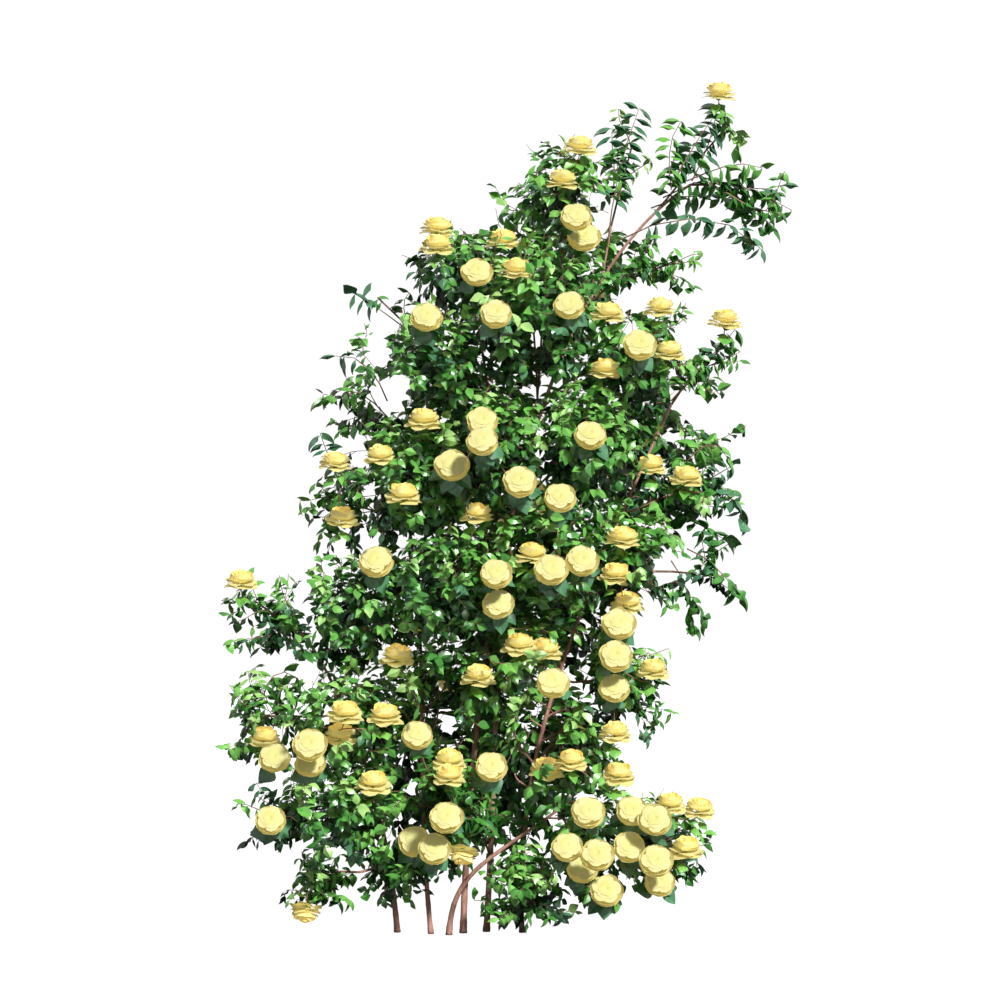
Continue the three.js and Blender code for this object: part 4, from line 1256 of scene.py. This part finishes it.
@dataclass(frozen=True)
class BloomShape:
    """A rose, in millimetres along its own axis: rings of petals over a hip with its sepals."""

    seed: int
    tiers: tuple[Tier, ...]
    thickness: float = 0.5
    rows: int = 3
    columns: int = 5
    foot_breadth: float = 0.55
    widening: float = 0.9
    waves: float = 2.8
    corner_droop: float = 0.8
    hip: tuple[float, float, float] = (1.6, 6.5, 10.0)
    sepal_reach: float = 2.6
    sepal_height: float = 7.0

    def petal(self, tier: Tier, rng: np.random.Generator) -> bmesh.types.BMesh:
        """Makes one petal from a grid: wrapped round the axis, lifted, spread and ruffled.

        Args:
            tier: The ring that it belongs to.
            rng: Draws its own ruffle.

        Returns:
            The petal, with a front and a back.
        """
        petal = bmesh.new()
        bmesh.ops.create_grid(petal, x_segments=self.columns, y_segments=self.rows, size=0.5)
        wave, lean = rng.uniform(0, 2 * math.pi), rng.uniform(-0.12, 0.12)
        reach, lift = rng.uniform(0.95, 1.05), rng.uniform(-0.6, 0.6)
        for v in petal.verts:
            u, t = v.co.x * 2, v.co.y + 0.5
            t *= 1 - tier.rounding * u * u * t
            radius, height = tier.spine(t)
            radius *= 1 + (reach - 1) * t
            broad = tier.half_turn * min(1.0, self.foot_breadth + self.widening * t)
            turn = u * broad + lean * t
            height += tier.ruffle * (t * t * math.sin(self.waves * u + wave) + 0.5 * u + lift * t)
            height -= tier.ruffle * self.corner_droop * abs(u) ** 3 * t * t
            v.co = (radius * math.cos(turn), radius * math.sin(turn), height)
        bmesh.ops.recalc_face_normals(petal, faces=petal.faces)
        if sum(f.normal.z for f in petal.faces) < 0:
            bmesh.ops.reverse_faces(petal, faces=petal.faces)
        for f in petal.faces:
            f.material_index = tier.side.value
        backs = bmesh.ops.solidify(petal, geom=petal.faces[:], thickness=self.thickness)["geom"]
        for f in backs:
            if isinstance(f, bmesh.types.BMFace):
                f.material_index = PetalSide.BACK.value
        return petal

    def calyx(self) -> bmesh.types.BMesh:
        """Makes the hip and its sepals: a cone whose rim is drawn out to points."""
        low, high, tall = self.hip
        calyx = bmesh.new()
        bmesh.ops.create_cone(calyx, cap_ends=True, segments=10, radius1=low, radius2=high, depth=tall)
        bmesh.ops.translate(calyx, vec=(0, 0, tall / 2), verts=calyx.verts)
        upper = (v for v in calyx.verts if v.co.z > tall / 2)
        rim = sorted(upper, key=lambda v: math.atan2(v.co.y, v.co.x))
        for v in rim[::2]:
            v.co = Vector((v.co.x * self.sepal_reach, v.co.y * self.sepal_reach, self.sepal_height))
        for f in calyx.faces:
            f.material_index = PetalSide.SEPAL.value
        return calyx

    def stamp(self) -> Stamp:
        """Sets the petals round the axis, ring by ring, over the calyx."""
        rng = np.random.default_rng(self.seed)
        bloom = self.calyx()
        for tier in self.tiers:
            for k in range(tier.petals):
                petal = self.petal(tier, rng)
                turn = (k + tier.turn + rng.uniform(-0.06, 0.06)) * 2 * math.pi / tier.petals
                about = Matrix.Rotation(turn, 3, "Z")
                bmesh.ops.rotate(petal, cent=(0, 0, 0), matrix=about, verts=petal.verts)
                spare = bpy.data.meshes.new("petal")
                petal.to_mesh(spare)
                petal.free()
                bloom.from_mesh(spare)
                bpy.data.meshes.remove(spare)
        return Stamp(bloom)


# ---------- finishes ----------


def colour(red: int, green: int, blue: int) -> tuple[float, float, float, float]:
    """Turns a screen colour, 0 to 255 and above 10, into the linear one that shaders take."""
    linear = [((c / 255 + 0.055) / 1.055) ** 2.4 for c in (red, green, blue)]
    return (*linear, 1.0)


class Signal:
    """A shader socket that takes part in sums; each operator adds its Math node."""

    def __init__(self, board: Board, socket: bpy.types.NodeSocket) -> None:
        """Wraps an output socket of a board."""
        self.board = board
        self.socket = socket

    def _math(self, operation: str, first: object, second: object) -> Signal:
        """Adds one Math node."""
        node = self.board.add("ShaderNodeMath", {"operation": operation}, {0: first, 1: second})
        return Signal(self.board, node.outputs[0])

    def __add__(self, other: Signal | float) -> Signal:
        """Adds."""
        return self._math("ADD", self, other)

    __radd__ = __add__

    def __mul__(self, other: Signal | float) -> Signal:
        """Multiplies."""
        return self._math("MULTIPLY", self, other)

    __rmul__ = __mul__


class Board:
    """A node tree and the making of its nodes."""

    def __init__(self, tree: bpy.types.NodeTree) -> None:
        """Takes an empty tree."""
        self.tree = tree
        self.tree.nodes.clear()

    def add(
        self,
        kind: str,
        settings: dict[str, object] | None = None,
        inputs: dict[str | int, object] | None = None,
    ) -> bpy.types.Node:
        """Adds one node.

        Args:
            kind: The node's type.
            settings: Its own settings; "stops" are a ramp's stops.
            inputs: What its sockets hold: a number, a colour, or a Signal to link.

        Returns:
            The node.
        """
        node = self.tree.nodes.new(kind)
        for key, value in (settings or {}).items():
            if key == "stops":
                self._set_stops(node.color_ramp, value)
            else:
                setattr(node, key, value)
        for key, value in (inputs or {}).items():
            if isinstance(value, Signal):
                self.tree.links.new(value.socket, node.inputs[key])
            else:
                node.inputs[key].default_value = value
        return node

    @staticmethod
    def _set_stops(ramp: bpy.types.ColorRamp, stops: Iterable[tuple[float, tuple]]) -> None:
        """Gives a ramp its stops."""
        for i, (position, value) in enumerate(stops):
            stop = ramp.elements[i] if i < 2 else ramp.elements.new(position)
            stop.position = position
            stop.color = value


class Skin(Board):
    """The node tree of one material, round a principled shader."""

    def __init__(self, name: str) -> None:
        """Makes the material."""
        self.material = bpy.data.materials.new(name)
        self.material.use_nodes = True
        super().__init__(self.material.node_tree)
        self.shader = self.add("ShaderNodeBsdfPrincipled")
        self.add("ShaderNodeOutputMaterial", {}, {"Surface": Signal(self, self.shader.outputs["BSDF"])})

    def place(self, stretch: tuple[float, float, float] = (1, 1, 1)) -> Signal:
        """Gives the object's own coordinates, stretched."""
        coordinates = self.add("ShaderNodeTexCoord")
        vector = Signal(self, coordinates.outputs["Object"])
        mapping = self.add("ShaderNodeMapping", {}, {"Vector": vector, "Scale": stretch})
        return Signal(self, mapping.outputs["Vector"])

    def noise(self, scale: float, detail: float, where: Signal, roughness: float = 0.55) -> Signal:
        """Gives a cloudy pattern from 0 to 1."""
        inputs = {"Vector": where, "Scale": scale, "Detail": detail, "Roughness": roughness}
        return Signal(self, self.add("ShaderNodeTexNoise", {}, inputs).outputs["Fac"])

    def ramp(self, value: Signal, *stops: tuple[float, tuple]) -> Signal:
        """Turns a value into a colour."""
        node = self.add("ShaderNodeValToRGB", {"stops": stops}, {"Fac": value})
        return Signal(self, node.outputs["Color"])

    def mix(self, share: Signal, first: object, second: object) -> Signal:
        """Mixes two colours."""
        node = self.add("ShaderNodeMix", {"data_type": "RGBA"}, {0: share, 6: first, 7: second})
        return Signal(self, node.outputs[2])

    def bump(self, height: Signal, strength: float, distance: float) -> Signal:
        """Turns a height into a normal."""
        inputs = {"Height": height, "Strength": strength, "Distance": distance}
        return Signal(self, self.add("ShaderNodeBump", {}, inputs).outputs["Normal"])

    def dress(self, **inputs: object) -> bpy.types.Material:
        """Sets the shader's sockets, whose names have their spaces as underscores."""
        for key, value in inputs.items():
            socket = self.shader.inputs[key.replace("_", " ")]
            if isinstance(value, Signal):
                self.tree.links.new(value.socket, socket)
            else:
                socket.default_value = value
        return self.material


@dataclass(frozen=True)
class LeafFinish:
    """The waxy skin of a leaf, in one green with a lighter and a darker share."""

    name: str
    light: tuple[int, int, int]
    dark: tuple[int, int, int]
    gloss: float = 0.24

    def material(self) -> bpy.types.Material:
        """Makes the material."""
        board = Skin(self.name)
        where = board.place()
        cloud = board.noise(26.0, 3.0, where)
        grain = board.noise(420.0, 2.0, where)
        tint = board.ramp(cloud, (0.3, colour(*self.dark)), (0.7, colour(*self.light)))
        return board.dress(
            Base_Color=tint,
            Roughness=self.gloss + grain * 0.14,
            Normal=board.bump(grain, 0.2, 0.0006),
            Specular_IOR_Level=0.9,
        )


@dataclass(frozen=True)
class BarkFinish:
    """Smooth young bark: a warm skin with grey-green patches and fine length-wise streaks."""

    name: str
    warm: tuple[int, int, int]
    deep: tuple[int, int, int]
    grey: tuple[int, int, int]
    patches: float

    def material(self) -> bpy.types.Material:
        """Makes the material."""
        board = Skin(self.name)
        streaks = board.noise(160.0, 4.0, board.place((1.0, 1.0, 0.12)), 0.65)
        blotch = board.noise(30.0, 3.0, board.place((1.0, 1.0, 0.5)))
        skin = board.ramp(streaks, (0.3, colour(*self.deep)), (0.66, colour(*self.warm)))
        cover = board.ramp(blotch, (0.56, (0, 0, 0, 1)), (0.66, (self.patches,) * 3 + (1,)))
        fine = board.noise(900.0, 2.0, board.place((1.0, 1.0, 0.4)))
        return board.dress(
            Base_Color=board.mix(cover, skin, colour(*self.grey)),
            Roughness=0.55 + streaks * 0.3,
            Normal=board.bump(streaks * 0.7 + fine * 0.3, 0.5, 0.0012),
        )


@dataclass(frozen=True)
class PetalFinish:
    """A silky petal side with a faint cloud of a second yellow, which glows faintly in its own colour: a
    painted glow that stands in for light let through the petal.
    """

    name: str
    pale: tuple[int, int, int]
    deep: tuple[int, int, int]
    painted_glow: float = 0.07

    def material(self) -> bpy.types.Material:
        """Makes the material."""
        board = Skin(self.name)
        where = board.place()
        cloud = board.noise(38.0, 2.0, where)
        silk = board.noise(300.0, 3.0, where)
        tint = board.ramp(cloud, (0.32, colour(*self.deep)), (0.68, colour(*self.pale)))
        return board.dress(
            Base_Color=tint,
            Roughness=0.5 + silk * 0.2,
            Normal=board.bump(silk, 0.18, 0.0006),
            # Painted light: a faint glow in the petal's own colour stands in for light let through it.
            Emission_Color=tint,
            Emission_Strength=self.painted_glow,
        )


@dataclass(frozen=True)
class FloorFinish:
    """A plain pale studio floor, which glows to the eye but throws little light back."""

    name: str = "pale_floor"
    glow: float = 0.995

    def material(self) -> bpy.types.Material:
        """Makes the material."""
        board = Skin(self.name)
        wear = board.noise(3.0, 2.0, board.place())
        seen = Signal(board, board.add("ShaderNodeLightPath").outputs["Is Camera Ray"])
        return board.dress(
            Base_Color=board.ramp(wear, (0.0, (0.12, 0.12, 0.12, 1)), (1.0, (0.15, 0.15, 0.15, 1))),
            Roughness=0.9,
            Emission_Color=board.mix(seen, (0, 0, 0, 1), (self.glow,) * 3 + (1,)),
            Emission_Strength=1.0,
        )


# Painted light and shade: the sunlit greens are lighter and the half-shaded and shaded ones darker, down
# to near black in the shade within; the palest is also the green of young leaves.
LEAF_FINISHES = {
    Tone.SUN: LeafFinish("leaf_sun", (142, 206, 100), (80, 160, 60)),
    Tone.DEEP: LeafFinish("leaf_deep", (92, 166, 70), (46, 110, 42)),
    Tone.BLUE: LeafFinish("leaf_blue", (104, 162, 116), (52, 106, 70), 0.2),
    Tone.YOUNG: LeafFinish("leaf_young", (190, 228, 142), (128, 190, 90), 0.28),
    Tone.SHADE: LeafFinish("leaf_shade", (32, 76, 28), (14, 38, 14)),
}
CANE_BARK = BarkFinish("cane_bark", (210, 158, 140), (156, 106, 92), (172, 164, 132), 0.6)
TWIG_BARK = BarkFinish("twig_bark", (172, 128, 108), (118, 86, 70), (122, 136, 90), 0.6)
# Each petal side glows a little, painted light let through the petal. The backs glow most and are lighter
# than the faces, painted light that lifts their shade, over the deeper golden of the petals' own backs.
PETAL_FACE = PetalFinish("petal_face", (214, 208, 146), (207, 199, 130), 0.13)
PETAL_HEART = PetalFinish("petal_heart", (212, 208, 134), (206, 200, 118), 0.13)
PETAL_BACK = PetalFinish("petal_back", (252, 238, 164), (249, 224, 130), 0.2)
SEPAL = LeafFinish("sepal", (110, 156, 70), (72, 118, 44))


# ---------- the sub-assemblies ----------


@dataclass
class Wood:
    """The canes and boughs, with the relief of their bark."""

    sides: int = 14
    ring_step: float = 9.0
    flare: float = 1.22
    flare_height: float = 45.0
    node_step: float = 62.0
    node_swell: float = 0.1
    node_shift: float = 0.37
    relief: float = 0.35
    grain: tuple[float, float, float] = (4.0, 4.0, 30.0)

    def radius(self, limb: Limb, share: float, stands: bool) -> float:
        """Gives the radius with the root flare and the swollen nodes."""
        height = share * limb.line.length
        radius = float(limb.radius_at(share))
        if stands:
            radius *= 1 + (self.flare - 1) * max(0.0, 1 - height / self.flare_height) ** 2
        offset = (height / self.node_step + len(limb.name) * self.node_shift) % 1 - 0.5
        return radius * (1 + self.node_swell * math.exp(-((offset * self.node_step / 6) ** 2)))

    def frames(self, limb: Limb, count: int) -> list[Matrix]:
        """Carries a square frame along the limb without twist, one for each ring."""
        shares = np.linspace(0, 1, count + 1)
        points, headings = limb.line.at(shares), limb.line.heading(shares)
        side = unit(np.cross(headings[0], [0.3, 1.0, 0.1]))
        found = []
        for point, heading in zip(points, headings):
            side = unit(side - heading * float(side @ heading))
            other = np.cross(heading, side)
            turn = Matrix((side, other, heading)).transposed().to_4x4()
            found.append(Matrix.Translation(Vector(point)) @ turn)
        return found

    def solid(self, limb: Limb, stands: bool) -> bmesh.types.BMesh:
        """Draws one limb up from a circle, ring by ring, and roughens it.

        Args:
            limb: The limb.
            stands: Whether its foot is cut level at the ground.

        Returns:
            The closed skin, in millimetres.
        """
        count = max(8, round(limb.line.length / self.ring_step))
        frames = self.frames(limb, count)
        skin = bmesh.new()
        ring = bmesh.ops.create_circle(skin, segments=self.sides, radius=1.0)["verts"]
        rim = list(skin.edges)
        foot = list(ring)
        before = Matrix.Identity(4)
        for k, place in enumerate(frames):
            now = place @ Matrix.Scale(self.radius(limb, k / count, stands), 4)
            if k:
                grown = bmesh.ops.extrude_edge_only(skin, edges=rim)["geom"]
                ring = [g for g in grown if isinstance(g, bmesh.types.BMVert)]
                edges = [g for g in grown if isinstance(g, bmesh.types.BMEdge)]
                rim = [e for e in edges if all(v in ring for v in e.verts)]
            bmesh.ops.transform(skin, matrix=now @ before.inverted(), verts=ring)
            before = now
        skin.normal_update()
        wide, deep, tall = self.grain
        for v in skin.verts:
            grain = noise.noise(Vector((v.co.x / wide, v.co.y / deep, v.co.z / tall)))
            v.co += v.normal * grain * self.relief
        if stands:
            for v in foot:
                v.co.z = 0.0
        bmesh.ops.holes_fill(skin, edges=skin.edges, sides=self.sides)
        bmesh.ops.recalc_face_normals(skin, faces=skin.faces)
        return skin

    def build(self, name: str, limbs: list[Limb], stands: bool) -> bpy.types.Object:
        """Joins the limbs of one kind into a piece and dresses it."""
        joined = Joined()
        for limb in limbs:
            shape = Stamp(self.solid(limb, stands))
            joined.stamp(shape, np.eye(3)[None], np.zeros((1, 3)), np.zeros(1, int))
        piece = joined.object(name, [CANE_BARK.material()])
        finish_piece(piece, [limb.name for limb in limbs if limb.name != "shoot"])
        return piece


@dataclass
class Foliage:
    """The twigs and leaves of one zone."""

    zone: Zone
    growths: list[Growth]

    def build_twigs(self, bark: bpy.types.Material) -> bpy.types.Object:
        """Joins the twigs."""
        bed = TwigBed()
        for growth in self.growths:
            bed.points += growth.twigs.points
            bed.radii += growth.twigs.radii
        joined = Joined()
        tubes(joined, bed)
        piece = joined.object(f"twigs_{self.zone.value}", [bark])
        finish_piece(piece, [])
        return piece

    def build_leaves(
        self,
        stamps: dict[LeafKind, Stamp],
        greens: list[bpy.types.Material],
    ) -> bpy.types.Object:
        """Joins the leaves, each a copy of one of the shapes in the green of its spray."""
        beds = [growth.leaves for growth in self.growths]
        fields = ("base", "direction", "normal", "length", "kind", "tone")
        stack = {key: np.concatenate([row for bed in beds for row in getattr(bed, key)]) for key in fields}
        across = np.cross(stack["direction"], stack["normal"])
        lengths = stack["length"][:, None, None]
        axes = np.stack([across, stack["direction"], stack["normal"]], axis=2) * lengths
        joined = Joined()
        for kind, stamp in stamps.items():
            chosen = stack["kind"] == kind.value
            joined.stamp(stamp, axes[chosen], stack["base"][chosen], stack["tone"][chosen])
        piece = joined.object(f"leaves_{self.zone.value}", greens, CREASE)
        finish_piece(piece, ["mass_" + growth.mass.plan.name for growth in self.growths])
        log.info("%s: %d leaves", piece.name, len(across))
        return piece


@dataclass
class Blossom:
    """The blooms of one zone, copies of a few open and cupped roses."""

    zone: Zone
    blooms: list[Bloom]

    def build(
        self,
        stamps: dict[Facing, list[Stamp]],
        petals: list[bpy.types.Material],
    ) -> bpy.types.Object:
        """Turns each bloom about its axis and joins them."""
        rng = np.random.default_rng(SEED)
        joined = Joined()
        for k, bloom in enumerate(self.blooms):
            side = unit(np.cross(bloom.axis, [0.2, 1.0, 0.3]))
            turn = rng.uniform(0, 2 * math.pi)
            first = side * math.cos(turn) + np.cross(bloom.axis, side) * math.sin(turn)
            size = rng.uniform(*SIZES[bloom.facing])
            axes = np.stack([first, np.cross(bloom.axis, first), bloom.axis], axis=1) * size
            choices = stamps[bloom.facing]
            joined.stamp(choices[k % len(choices)], axes[None], bloom.place[None], np.zeros(1, int))
        piece = joined.object(f"blossom_{self.zone.value}", petals, CREASE)
        finish_piece(piece, [])
        return piece


# The suns: the way that each shines from, its strength and how wide it is.
SUNS = {
    "key": (SUNWARD, 3.95, 6),
    "soft_key": ((0.3, -0.85, 0.6), 0.5, 45),
    "fill": ((-0.6, -0.8, 0.2), 0.05, 60),
    "back": ((-0.45, 0.8, 0.5), 0.7, 20),
}


@dataclass
class Studio:
    """A pale floor, soft light and the camera at eye level before the bush."""

    sensor: float = 36.0
    floor_radius: float = 9.0
    seen: float = 1.05
    mirrored: float = 0.5
    soft: float = 0.025

    def build_floor(self) -> None:
        """Lays the floor."""
        disc = bmesh.new()
        bmesh.ops.create_circle(disc, cap_ends=True, segments=96, radius=self.floor_radius)
        mesh = bpy.data.meshes.new("floor")
        disc.to_mesh(mesh)
        disc.free()
        mesh.materials.append(FloorFinish().material())
        floor = bpy.data.objects.new("floor", mesh)
        bpy.context.scene.collection.objects.link(floor)

    def build_camera(self) -> None:
        """Sets the camera at the viewpoint, looking level along +Y."""
        lens = bpy.data.cameras.new("camera")
        lens.sensor_width = self.sensor
        lens.lens = self.sensor * abs(float(VIEWPOINT[1])) / VIEW_WIDTH
        camera = bpy.data.objects.new("camera", lens)
        camera.location = Vector(VIEWPOINT * MM)
        camera.rotation_euler = (math.pi / 2, 0, 0)
        bpy.context.scene.collection.objects.link(camera)
        bpy.context.scene.camera = camera

    @staticmethod
    def add_sun(name: str, toward: tuple[float, float, float], strength: float, angle: float) -> None:
        """Hangs a sun that shines from a direction."""
        lamp = bpy.data.lights.new(name, "SUN")
        lamp.energy = strength
        lamp.angle = math.radians(angle)
        sun = bpy.data.objects.new(name, lamp)
        sun.rotation_mode = "QUATERNION"
        sun.rotation_quaternion = Vector(toward).to_track_quat("Z", "Y")
        bpy.context.scene.collection.objects.link(sun)

    def build_world(self) -> None:
        """Makes the white surround, which lights the plant less than it shows."""
        world = bpy.data.worlds.new("surround")
        world.use_nodes = True
        board = Board(world.node_tree)
        path = board.add("ShaderNodeLightPath")
        seen = Signal(board, path.outputs["Is Camera Ray"])
        mirrored = Signal(board, path.outputs["Is Glossy Ray"])
        strength = seen * (self.seen - self.soft) + mirrored * (self.mirrored - self.soft) + self.soft
        sky = board.add("ShaderNodeBackground", {}, {"Color": (1, 1, 1, 1), "Strength": strength})
        board.add("ShaderNodeOutputWorld", {}, {"Surface": Signal(board, sky.outputs[0])})
        bpy.context.scene.world = world

    def build(self) -> None:
        """Builds the whole studio."""
        bpy.context.scene.view_settings.view_transform = "Standard"
        self.build_floor()
        self.build_camera()
        self.build_world()
        for name, (toward, strength, angle) in SUNS.items():
            self.add_sun(name, toward, strength, angle)


@dataclass
class RoseBush:
    """The whole bush: canes, boughs, and the foliage and blossom of each zone."""

    cane_tip: float = 3.2
    cane_steps: int = 11
    bough_share: float = 0.72
    bough_tip: float = 2.9
    bough_short_of: float = 0.82
    stem_share: float = 0.7
    stem_root: float = 4.5
    stem_tip: float = 2.2
    stem_past: float = 0.35

    def grow_canes(self) -> dict[str, Limb]:
        """Sets out the canes."""
        tip, steps = self.cane_tip, self.cane_steps
        return {p.name: Limb(p.name, Line(p.guides), p.radius, tip, steps) for p in CANES}

    def grow_bough(self, mass: Mass, cane: Limb) -> Limb:
        """Sets out a bough that leaves its cane at a narrow angle and ends in the mass."""
        at = mass.plan.at
        start, heading = cane.line.at(at), cane.line.heading(at)
        inward = unit(start - mass.centre)
        end = mass.centre + inward * mass.radius_toward(inward) * self.bough_short_of
        reach = float(np.linalg.norm(end - start))
        arrival = unit(unit(mass.centre - start) + UP * 0.15)
        line = Line((start, start + heading * reach * 0.34, end - arrival * reach * 0.3, end))
        root = float(cane.radius_at(at)) * self.bough_share
        return Limb("bough_" + mass.plan.name, line, root, min(self.bough_tip, root), 5)

    def grow_shoot(self, plan: ShootPlan, cane: Limb) -> Limb:
        """Sets out a bare side shoot that swings out from its cane and turns up."""
        shares = np.linspace(0, 1, Line.FINE)
        at = float(np.interp(plan.height, cane.line.at(shares)[:, 2], shares))
        start, heading = cane.line.at(at), cane.line.heading(at)
        end = start + np.array([plan.run, -12.0, plan.rise])
        reach = float(np.linalg.norm(end - start))
        side = np.array([math.copysign(1.0, plan.run), -0.2, 0.1])
        line = Line((start, start + (side + heading) * reach * 0.25, end - UP * reach * 0.35, end))
        return Limb("shoot", line, plan.radius, plan.radius * 0.55, 3)

    def grow_stem(self, mass: Mass, cane: Limb, bough: Limb | None) -> Limb:
        """Sets out the stem of a mass, from its bough's tip or its cane to past the middle."""
        carrier = bough or cane
        from_tip = bough is not None or mass.plan.at == 1
        at = 1.0 if from_tip else mass.plan.at
        heading = carrier.line.heading(at)
        start = carrier.line.at(at) + heading * (CLEARANCE if from_tip else 0)
        inward = unit(mass.centre - start)
        end = mass.centre + inward * mass.radius_toward(inward) * self.stem_past
        reach = float(np.linalg.norm(end - start))
        line = Line((start, start + heading * reach * 0.25, mass.centre * 0.8 + start * 0.2, end))
        forked = min(float(carrier.radius_at(at)) * self.stem_share, self.stem_root)
        root = carrier.tip if from_tip else forked
        return Limb(mass.plan.name, line, root, min(self.stem_tip, root), 3)

    def build(self) -> None:
        """Grows the bush and builds its pieces."""
        canes = self.grow_canes()
        masses = [Mass(plan, index) for index, plan in enumerate(MASSES)]
        for mass in masses:
            for other in masses:
                if other is not mass:
                    mass.wall_against(other)
        boughs = {m.plan.name: self.grow_bough(m, canes[m.plan.cane]) for m in masses if m.plan.bough}
        limbs = [*canes.values(), *boughs.values()]
        blooms = BloomSetter(masses, limbs).set_all()
        log.info("%d blooms", len(blooms))

        wood = Wood()
        wood.build("canes", list(canes.values()), True)
        shoots = [self.grow_shoot(plan, canes[plan.cane]) for plan in SHOOTS]
        wood.build("boughs", [*boughs.values(), *shoots], False)

        leaf_stamps = {kind: shape.stamp() for kind, shape in LEAF_SHAPES.items()}
        open_stamps = [BloomShape(seed, OPEN_TIERS).stamp() for seed in (1, 2, 3)]
        cupped_stamps = [BloomShape(seed, CUPPED_TIERS).stamp() for seed in (4, 5, 6)]
        bloom_stamps = {Facing.OUT: open_stamps, Facing.UP: cupped_stamps, Facing.DOWN: cupped_stamps}
        greens = [LEAF_FINISHES[tone].material() for tone in Tone]
        petals = [finish.material() for finish in (PETAL_FACE, PETAL_BACK, SEPAL, PETAL_HEART)]
        twig_bark = TWIG_BARK.material()
        for zone in Zone:
            growths = []
            for mass in (m for m in masses if m.zone is zone):
                stem = self.grow_stem(mass, canes[mass.plan.cane], boughs.get(mass.plan.name))
                growth = Growth(mass, stem, blooms)
                growth.grow()
                growths.append(growth)
            foliage = Foliage(zone, growths)
            foliage.build_leaves(leaf_stamps, greens)
            foliage.build_twigs(twig_bark)
            Blossom(zone, [b for g in growths for b in g.mass.blooms]).build(bloom_stamps, petals)


def main() -> None:
    """Builds the studio and the bush, and notes the sizes."""
    logging.basicConfig(level=logging.INFO, format="%(message)s")
    Studio().build()
    RoseBush().build()


if __name__ == "__main__":
    main()
